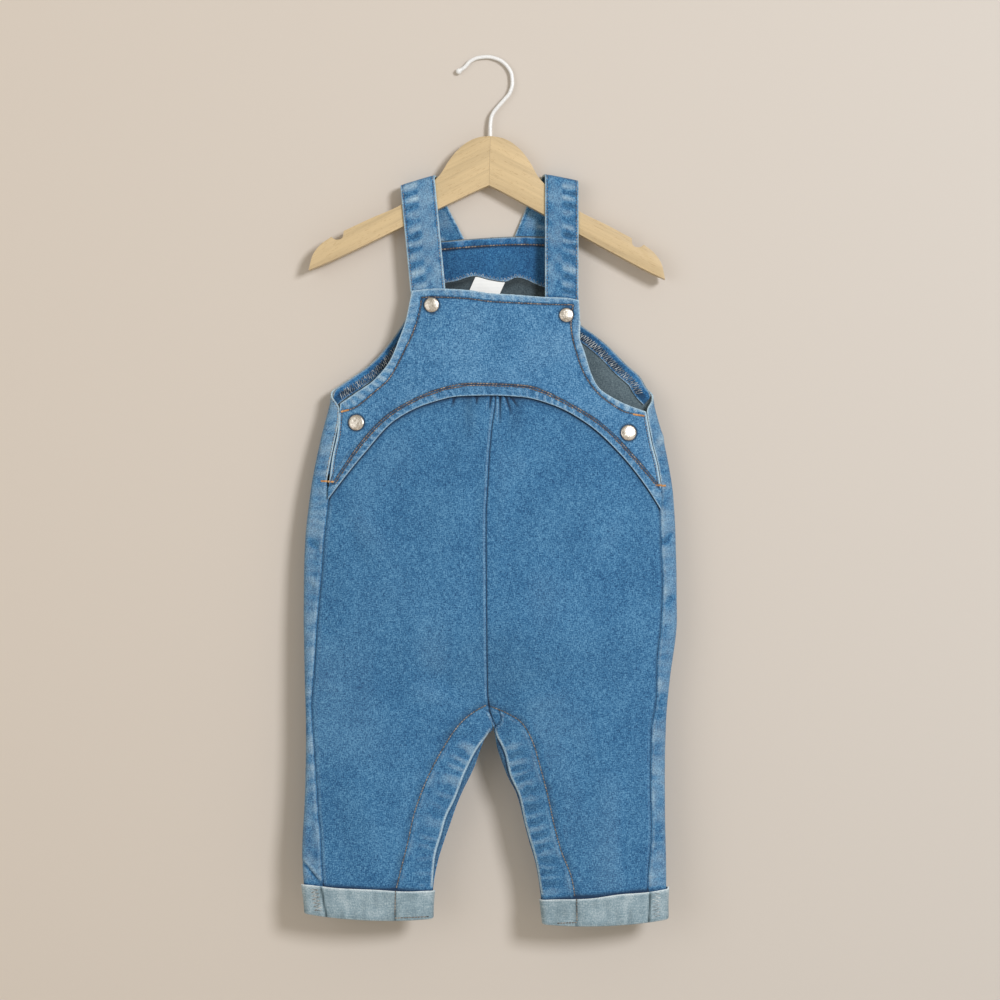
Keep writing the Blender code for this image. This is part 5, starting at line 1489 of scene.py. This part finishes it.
SNAP_PROFILE = [  # share of the radius, share of the height
    (0.0, 0.0), (0.88, 0.0), (0.9, 0.12), (0.97, 0.16), (1.0, 0.26), (1.0, 0.36),
    (0.985, 0.48), (0.95, 0.6), (0.88, 0.72), (0.84, 0.76), (0.74, 0.84), (0.62, 0.905),
    (0.48, 0.95), (0.34, 0.975), (0.2, 0.99), (0.08, 1.0), (0.0, 1.0),
]


def snap_cap(name, material):
    """Domed cap with a rolled rim and a few shallow dents, seated on the bib."""
    x, z, radius = SNAPS[name]
    seat, normal = skin_at("front_bib", x, z)
    side_axis = np.cross([0.0, 0.0, 1.0], normal)
    side_axis /= np.linalg.norm(side_axis)
    up_axis = np.cross(side_axis, normal)
    angles = np.linspace(0, 2 * math.pi, 41)
    points = []
    for wide, high in SNAP_PROFILE:
        spoke = (side_axis * np.cos(angles)[:, None] + up_axis * np.sin(angles)[:, None])
        dent = 0.10 * cloudy(spoke[:, 0] * wide * 6, spoke[:, 2] * wide * 6, 4.0,
                             len(name)) * (high > 0.5)
        points.append(seat + spoke * radius * wide
                      + normal * (SNAP_HEIGHT * high - 0.25 + dent)[:, None])
    points = np.array(points)
    cap = grid_piece("cap_" + name, points, points[..., ::2],
                     points - points.mean(axis=(0, 1)), closed=True)
    bpy.ops.object.shade_smooth_by_angle(angle=math.radians(60))
    cap.data.materials.append(material)
    stand_for(cap, name)


# ---------------------------------------------------------------- sewing

trees = {}


def skin_at(name, x, z, facing="front"):
    """Point and normal of a finished face at a place seen from the front or the back."""
    if name not in skins:
        raise RuntimeError(f"{name} has to be made before what lies on it")
    way = -1.0 if facing == "front" else 1.0
    points, normal = (part.reshape(-1, 3) for part in skins[name])
    key = (name, facing)
    if key not in trees:
        seen = np.flatnonzero(normal[:, 1] * way > 0.1)
        tree = kdtree.KDTree(len(seen))
        for index in seen:
            tree.insert((points[index, 0], 0.0, points[index, 2]), int(index))
        tree.balance()
        trees[key] = tree
    index = trees[key].find((x, 0.0, z))[1]
    n, p = normal[index], points[index]
    y = p[1] - (n[0] * (x - p[0]) + n[2] * (z - p[2])) / n[1]
    return np.array([x, y, z]), n


def stitch_form():
    """One stitch as unit points and faces: a small capsule lying along x."""
    bpy.ops.object.select_all(action="DESELECT")
    bpy.ops.mesh.primitive_uv_sphere_add(segments=6, ring_count=5, radius=1.0)
    ball = bpy.context.object
    points = np.array([vertex.co[:] for vertex in ball.data.vertices])
    faces = [tuple(face.vertices) for face in ball.data.polygons]
    bpy.data.objects.remove(ball)
    points = points[:, [2, 0, 1]]
    points[:, 0] = np.sign(points[:, 0]) * abs(points[:, 0]) ** 0.6
    return points, faces


class Sewing:
    """Collects stitches and turns them into one joined piece."""

    def __init__(self, name, thread):
        self.name, self.thread = name, thread_material(thread)
        self.form, self.faces = stitch_form()
        self.placed = []

    def stitch(self, start, end, normal, width, height):
        run = (end - start) / 2
        length = np.linalg.norm(run)
        along = run / length
        side = np.cross(normal, along)
        out = np.cross(along, side)
        axes = np.stack([along * length, side * width / 2, out * height / 2])
        self.placed.append((start + end) / 2 + self.form @ axes)

    def between(self, skin, facing, start, end, width, height):
        """One stitch on a finished face, between two x and z points."""
        (a, na), (b, nb) = (skin_at(skin, *place, facing) for place in (start, end))
        self.stitch(a, b, (na + nb) / np.linalg.norm(na + nb), width, height)

    def row(self, skin, points, facing="front", pitch=2.7, length=2.1, width=0.9, height=0.6):
        """Row of stitches on a finished face, along x and z points."""
        path = line(points, 160) if len(points) > 2 else np.array(points, float)
        steps = lengths_along(path)
        for place in np.arange(0.0, steps[-1] - length, pitch):
            ends = (place_on(path, steps, s) for s in (place, place + length))
            self.between(skin, facing, *ends, width, height)

    def band(self, skin, points, breadth, facing="front", pitch=1.6, width=0.45, slant=1.3,
             turn=-1.0):
        """Serging: threads that cross a band, leaning to and fro or, with turn 1, one way."""
        path = line(points, 120)
        steps = lengths_along(path)
        way = 1.0
        for place in np.arange(pitch, steps[-1] - pitch, pitch):
            middle = place_on(path, steps, place)
            run = place_on(path, steps, place + 0.5) - place_on(path, steps, place - 0.5)
            half = breadth / 2 * (1 + 0.15 * math.sin(place * 2.3))
            reach = np.array([-run[1], run[0]]) * half + run * (way * slant / 2)
            self.between(skin, facing, middle + reach, middle - reach, width, 0.5)
            way *= turn

    def finish(self):
        """Joined mesh of all the stitches."""
        count = len(self.form)
        vertices = np.concatenate(self.placed) * MM
        faces = [tuple(i + count * k for i in face)
                 for k in range(len(self.placed)) for face in self.faces]
        mesh = bpy.data.meshes.new(self.name)
        mesh.from_pydata(vertices.tolist(), [], faces)
        mesh.shade_smooth()
        obj = bpy.data.objects.new(self.name, mesh)
        bpy.context.collection.objects.link(obj)
        mesh.materials.append(self.thread)
        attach(obj, "root")


def offset_line(points, distance, count=120):
    """Line beside a line, positive to its left."""
    path = line(points, count)
    run = np.gradient(path, axis=0)
    run /= np.linalg.norm(run, axis=1, keepdims=True)
    return path + np.stack([-run[:, 1], run[:, 0]], axis=1) * distance


def trimmed(path, first, last):
    """Part of a path between two lengths from its ends."""
    steps = lengths_along(path)
    return place_on(path, steps, np.linspace(first, steps[-1] - last, 80)).T


def sew_bib(even):
    """Row round the bib, and the edge stitching of its vents."""
    sewing = Sewing("stitches_bib", "brown")
    for run in (BIB_ROW_LEFT, BIB_ROW_TOP, BIB_ROW_RIGHT):
        sewing.row("front_bib", run, **even)
    for run in (SIDE_LEFT, SIDE_RIGHT):
        sewing.row("front_bib", trimmed(offset_line(run, -TURN_STITCH), 3.0, 2.0), pitch=2.4,
                   length=1.7, width=0.6)
    sewing.finish()


def sew_arch(even):
    """Double row above the arch."""
    sewing = Sewing("stitches_arch", "brown")
    for space in (-ROW_SPACE, ROW_SPACE):
        sewing.row("front_bib", offset_line(ARCH_ROW, space), **even)
    sewing.finish()


def sew_legs():
    """Rows on the inner legs and the cuffs, in front and behind."""
    sewing = Sewing("stitches_legs", "grey")
    for side in SIDES:
        for facing, panel in (("front", "front_leg_"), ("back", "back_")):
            sewing.row(panel + side, INNER_LEG[side], facing, width=1.3, pitch=2.6, length=2.3)
            for run in (CUFF_ROW[side][:2], CUFF_ROW[side][1:]):
                sewing.row("cuff_" + side, run, facing, width=1.2, pitch=2.4, length=2.2)
    sewing.finish()


def edge_path(side, levels, inset, facing=None):
    """x and z beside a back panel's edge, as far as it is seen from the front or the back."""
    u, z = beside_edge(side, levels, inset)
    seen = {"front": u > 1.5, "back": u < -1.5, None: np.isfinite(u)}[facing]
    return cloth_point(side, u, z)[seen][:, ::2]


def sew_strap(sewing, side):
    """Edge stitching along both edges of a strap."""
    grid, normal = skins["strap_" + side]
    for column in (1, -2):
        path, out = grid[:, column], normal[:, column]
        steps = lengths_along(path)
        for place in np.arange(2.0, steps[-1] - 4.0, 2.6):
            ends = (place_on(path, steps, s) for s in (place, place + 1.9))
            up = place_on(out, steps, place)
            sewing.stitch(*ends, up / np.linalg.norm(up), 0.6, 0.5)


def below_top(xs, drop):
    """Points at a distance below the back's top edge."""
    return [(x, float(back_top(x)) - drop) for x in xs]


def sew_edges(even):
    """Rows along the backs' free edges, the straps' edges and the back's top edge."""
    sewing = Sewing("stitches_edges", "brown")
    levels = np.linspace(-162.0, -354.0, 140)
    for side in SIDES:
        if side == "left":
            sewing.row("back_left", edge_path(side, levels, VENT_ROW, "front"), "front",
                       width=0.65, pitch=2.6)
        sewing.row("back_" + side, edge_path(side, levels, FREE_ROW, "back"), "back",
                   width=0.65, pitch=2.6)
        sew_strap(sewing, side)
    sewing.row("back_left", below_top(NECK_X[NECK_X < 3.0], TOP_ROW), "back")
    sewing.row("back_right", below_top(NECK_X[NECK_X > 6.0], TOP_ROW), "back")
    sewing.row("neck_facing_inside", below_top(NECK_X, NECK_ROW), "front", **even)
    sewing.finish()


def sew_serging():
    """Serging on the facings' lower edges and on the side seams of the cuffs."""
    sewing, beige = Sewing("serging", "serging"), Sewing("serging_beige", "beige")
    foot = [(x, float(facing_foot(x)) + 1.6) for x in NECK_X]
    sewing.band("neck_facing_inside", foot, 3.2)
    for side in SIDES:
        path = edge_path(side, np.linspace(-200.0, -279.0, 50), ARMHOLE_FACING - 4.2)
        skin = "armhole_facing_" + side + "_inside"
        sewing.band(skin, path, 6.5, pitch=1.9, width=0.55, slant=2.6, turn=1.0)
        sewing.band(skin, path, 7.5, pitch=2.9, width=0.5, slant=-1.2, turn=1.0)
        top_x, foot_x, _, _ = CUFF_SERGE[side]
        top_z, foot_z = (float(v) for v in hem_edges(side, np.array(top_x)))
        path = [(top_x, top_z - 1.5), ((top_x + foot_x) / 2, (top_z + foot_z) / 2),
                (foot_x, foot_z + 1.5)]
        (beige if side == "left" else sewing).band("cuff_" + side, path, 7.0, slant=1.6,
                                                   pitch=1.5, width=0.6)
    sewing.finish()
    beige.finish()


def sew_tacks():
    """Bar tacks, as close stitches across a short line."""
    sewing = Sewing("bar_tacks", "orange")
    for skin, x, z, length, angle in TACKS:
        run = np.array([math.cos(math.radians(angle)), math.sin(math.radians(angle))])
        over = np.array([-run[1], run[0]]) * TACK_HALF
        for place in np.arange(-length / 2, length / 2, 0.5):
            middle = np.array([x, z]) + run * place
            (a, normal), (b, _) = (skin_at(skin, *(middle + way * over)) for way in (-1, 1))
            sewing.stitch(a, b, normal, 0.55, 0.9)
    sewing.finish()


# ---------------------------------------------------------------- stage

def wall_look():
    """Plain paint, clear from behind, that lets part of the bounced light through."""
    nodes = Nodes("wall_paint", 0.9, Specular_IOR_Level=0.1)
    place = nodes.coordinates("Object", (1.0, 1.0, 1.0))
    across = nodes.add("SeparateXYZ", {"Vector": place}).outputs[0]
    colour = nodes.ramp(nodes.math("MULTIPLY_ADD", across, 1.0, 0.5), WALL_COLOURS)
    nodes.put(nodes.shader.inputs["Base Color"], colour)
    back = nodes.add("NewGeometry").outputs["Backfacing"]
    clear = nodes.add("BsdfTransparent")
    bounced = nodes.add("LightPath").outputs["Is Diffuse Ray"]
    seen_through = nodes.math("MAXIMUM", back, nodes.math("MULTIPLY", bounced, WALL_LETS_THROUGH))
    mixed = nodes.add("MixShader", {0: seen_through, 1: nodes.shader.outputs[0],
                                    2: clear.outputs[0]})
    nodes.put(nodes.output.inputs["Surface"], mixed.outputs[0])
    return nodes.material


def wall_and_floor(gap):
    """Leaning wall behind the garment, and the floor below it."""
    look = wall_look()
    lean = math.radians(WALL_LEAN)
    depth, level = (value * MM for value in WALL_AT)
    behind = depth + gap - (FLOOR_Z + WALL_HALF - level) * math.tan(lean)
    for name, size, place, turn in (
            ("stage_wall", 2, (0.0, behind, FLOOR_Z + WALL_HALF), math.radians(90) + lean),
            ("stage_floor", 4, (0.0, 0.0, FLOOR_Z), 0.0)):
        bpy.ops.object.select_all(action="DESELECT")
        bpy.ops.mesh.primitive_plane_add(size=size * WALL_HALF, location=place,
                                         rotation=(turn, 0.0, 0.0))
        sheet = bpy.context.object
        sheet.name = name
        bpy.ops.object.transform_apply(location=True, rotation=True, scale=True)
        sheet.data.materials.append(look)


def lights(key_power):
    """Warm air, a large key light and a weak fill."""
    scene = bpy.context.scene
    scene.world = scene.world or bpy.data.worlds.new("World")
    scene.world.use_nodes = True
    background = scene.world.node_tree.nodes["Background"]
    background.inputs[0].default_value = AIR_COLOUR
    background.inputs[1].default_value = AIR_STRENGTH
    for name, way, distance, size, share in LIGHTS:
        way = np.array(way) / np.linalg.norm(way)
        data = bpy.data.lights.new(name, "AREA")
        data.shape = "DISK"
        data.size = size
        data.energy = key_power * share
        data.color = LIGHT_COLOUR
        light = bpy.data.objects.new(name, data)
        bpy.context.collection.objects.link(light)
        light.location = LIGHT_MIDDLE + way * distance
        light.rotation_euler = (-Vector(way)).to_track_quat("-Z", "Y").to_euler()


def camera_at(distance):
    """Level camera in front of the garment."""
    data = bpy.data.cameras.new("camera")
    data.angle = math.radians(CAMERA_ANGLE)
    data.dof.use_dof = False
    camera = bpy.data.objects.new("camera", data)
    bpy.context.collection.objects.link(camera)
    camera.location = (CAMERA_X, -distance, CAMERA_Z)
    camera.rotation_euler = (math.radians(90), 0.0, 0.0)
    bpy.context.scene.camera = camera


# ---------------------------------------------------------------- user settings

def colour_setting(name, description, default):
    return bpy.props.FloatVectorProperty(name=name, description=description, default=default,
                                         subtype="COLOR", min=0.0, max=1.0)


def length_setting(name, description, default, smallest=0.0):
    return bpy.props.FloatProperty(name=name, description=description, default=default,
                                   min=smallest, unit="LENGTH")


class FinishSettings(bpy.types.PropertyGroup):
    """Colours of the cloth and the wood"""
    denim_dark: colour_setting("Denim, dark", "Colour of the denim's darkest yarns",
                               (0.0100, 0.066, 0.175))
    denim: colour_setting("Denim", "Main colour of the washed denim", (0.0340, 0.154, 0.322))
    denim_light: colour_setting("Denim, light", "Colour of the denim's palest yarns",
                                (0.119, 0.300, 0.490))
    wrong_side: colour_setting("Wrong side", "Colour of the cloth's pale wrong side on the cuffs",
                               (0.252, 0.347, 0.402))
    wood: colour_setting("Wood", "Main colour of the hanger's wood", (0.575, 0.43, 0.235))


class SewingSettings(bpy.types.PropertyGroup):
    """Sizes of the stitches"""
    pitch: length_setting("Pitch", "Distance from one stitch to the next", 0.0026, 0.001)
    length: length_setting("Length", "Length of one stitch", 0.0023, 0.0005)
    width: length_setting("Width", "Width of the thread", 0.0012, 0.0002)


class StageSettings(bpy.types.PropertyGroup):
    """Wall, floor, light and camera"""
    wall_gap: length_setting("Wall gap", "Extra distance of the wall behind the garment's back",
                             0.0005)
    camera_distance: length_setting("Camera distance",
                                    "Distance of the camera from the hanger's plane", 2.2, 0.5)
    key_power: bpy.props.FloatProperty(
        name="Key light", description="Power of the large light, upper right, in watts",
        default=74.0, min=0.0)


class DungareesSettings(bpy.types.PropertyGroup):
    """All settings of the garment and its stage"""
    finish: bpy.props.PointerProperty(type=FinishSettings)
    sewing: bpy.props.PointerProperty(type=SewingSettings)
    stage: bpy.props.PointerProperty(type=StageSettings)


# ---------------------------------------------------------------- operators

class MakeHanger(bpy.types.Operator):
    """Make the hanger's two arms and its wire hook"""
    bl_idname = "dungarees.hanger"
    bl_label = "Hanger"

    def execute(self, context):
        for side in SIDES:
            hanger_arm(side)
        hook()
        return {"FINISHED"}


class MakeBacks(bpy.types.Operator):
    """Make the two back panels"""
    bl_idname = "dungarees.backs"
    bl_label = "Back panels"

    def execute(self, context):
        looks = finish("denim"), finish("denim_inside")
        for side in SIDES:
            declare(back_panel(side, looks), "back_" + side)
        return {"FINISHED"}


class MakeFrontLegs(bpy.types.Operator):
    """Make the two front leg panels"""
    bl_idname = "dungarees.front_legs"
    bl_label = "Front legs"

    def execute(self, context):
        looks = finish("denim"), finish("denim_inside")
        for side in SIDES:
            declare(front_leg(side, looks), "front_leg_" + side)
        return {"FINISHED"}


class MakeBib(bpy.types.Operator):
    """Make the bib and yoke"""
    bl_idname = "dungarees.bib"
    bl_label = "Bib and yoke"

    def execute(self, context):
        declare(front_bib((finish("denim_bib"), finish("denim_inside"))), "front_bib")
        return {"FINISHED"}


class MakeFacings(bpy.types.Operator):
    """Make the facings, the vents' underlaps and the blank label"""
    bl_idname = "dungarees.facings"
    bl_label = "Facings and label"

    def execute(self, context):
        inside = finish("denim_inside")
        both, lap = (inside, finish("denim_facing")), (finish("denim"), inside)
        declare(neck_facing(both), "neck_facing")
        for side in SIDES:
            declare(armhole_facing(side, both), "armhole_facing_" + side)
            declare(side_underlap(side, lap), "side_underlap_" + side)
        declare(neck_label((label_material(),)), "neck_label")
        return {"FINISHED"}


class MakeStraps(bpy.types.Operator):
    """Make the two straps over the hanger"""
    bl_idname = "dungarees.straps"
    bl_label = "Straps"

    def execute(self, context):
        look = finish("denim")
        for side in SIDES:
            declare(strap(side, (look,)), "strap_" + side)
        return {"FINISHED"}


class MakeCuffs(bpy.types.Operator):
    """Make the two turned-up cuffs"""
    bl_idname = "dungarees.cuffs"
    bl_label = "Cuffs"

    def execute(self, context):
        looks = finish("denim_wrong_side"), finish("denim")
        for side in SIDES:
            declare(cuff(side, looks), "cuff_" + side)
        return {"FINISHED"}


class MakeSnaps(bpy.types.Operator):
    """Make the four snap caps"""
    bl_idname = "dungarees.snaps"
    bl_label = "Snaps"

    def execute(self, context):
        material = nickel_material()
        for name in SNAPS:
            snap_cap(name, material)
        return {"FINISHED"}


class MakeSewing(bpy.types.Operator):
    """Sew the rows of stitches, the serging and the bar tacks"""
    bl_idname = "dungarees.sewing"
    bl_label = "Sewing"

    def execute(self, context):
        sizes = context.scene.dungarees.sewing
        even = {"pitch": sizes.pitch / MM, "length": sizes.length / MM,
                "width": sizes.width / MM}
        sew_bib(even)
        sew_arch(even)
        sew_legs()
        sew_edges(even)
        sew_serging()
        sew_tacks()
        return {"FINISHED"}


class MakeStage(bpy.types.Operator):
    """Make the wall, floor, lights and camera"""
    bl_idname = "dungarees.stage"
    bl_label = "Stage"

    def execute(self, context):
        settings = context.scene.dungarees.stage
        context.scene.view_settings.view_transform = "Standard"
        wall_and_floor(settings.wall_gap)
        lights(settings.key_power)
        camera_at(settings.camera_distance)
        return {"FINISHED"}


class DungareesPanel(bpy.types.Panel):
    """Sidebar panel with the garment's settings and steps"""
    bl_idname = "VIEW3D_PT_dungarees"
    bl_label = "Dungarees"
    bl_space_type = "VIEW_3D"
    bl_region_type = "UI"
    bl_category = "Dungarees"

    def draw(self, context):
        settings = context.scene.dungarees
        for group in (settings.finish, settings.sewing, settings.stage):
            box = self.layout.box()
            for name in group.__annotations__:
                box.prop(group, name)
        for step in STEPS:
            self.layout.operator(step.bl_idname)


STEPS = (MakeHanger, MakeBacks, MakeFrontLegs, MakeBib, MakeFacings, MakeStraps, MakeCuffs,
         MakeSnaps, MakeSewing, MakeStage)
CLASSES = (FinishSettings, SewingSettings, StageSettings, DungareesSettings, *STEPS,
           DungareesPanel)


def register():
    for item in CLASSES:
        bpy.utils.register_class(item)
    bpy.types.Scene.dungarees = bpy.props.PointerProperty(type=DungareesSettings)


def unregister():
    del bpy.types.Scene.dungarees
    for item in reversed(CLASSES):
        bpy.utils.unregister_class(item)


def main():
    register()
    for step in STEPS:
        group, name = step.bl_idname.split(".")
        getattr(getattr(bpy.ops, group), name)()


if __name__ == "__main__":
    main()
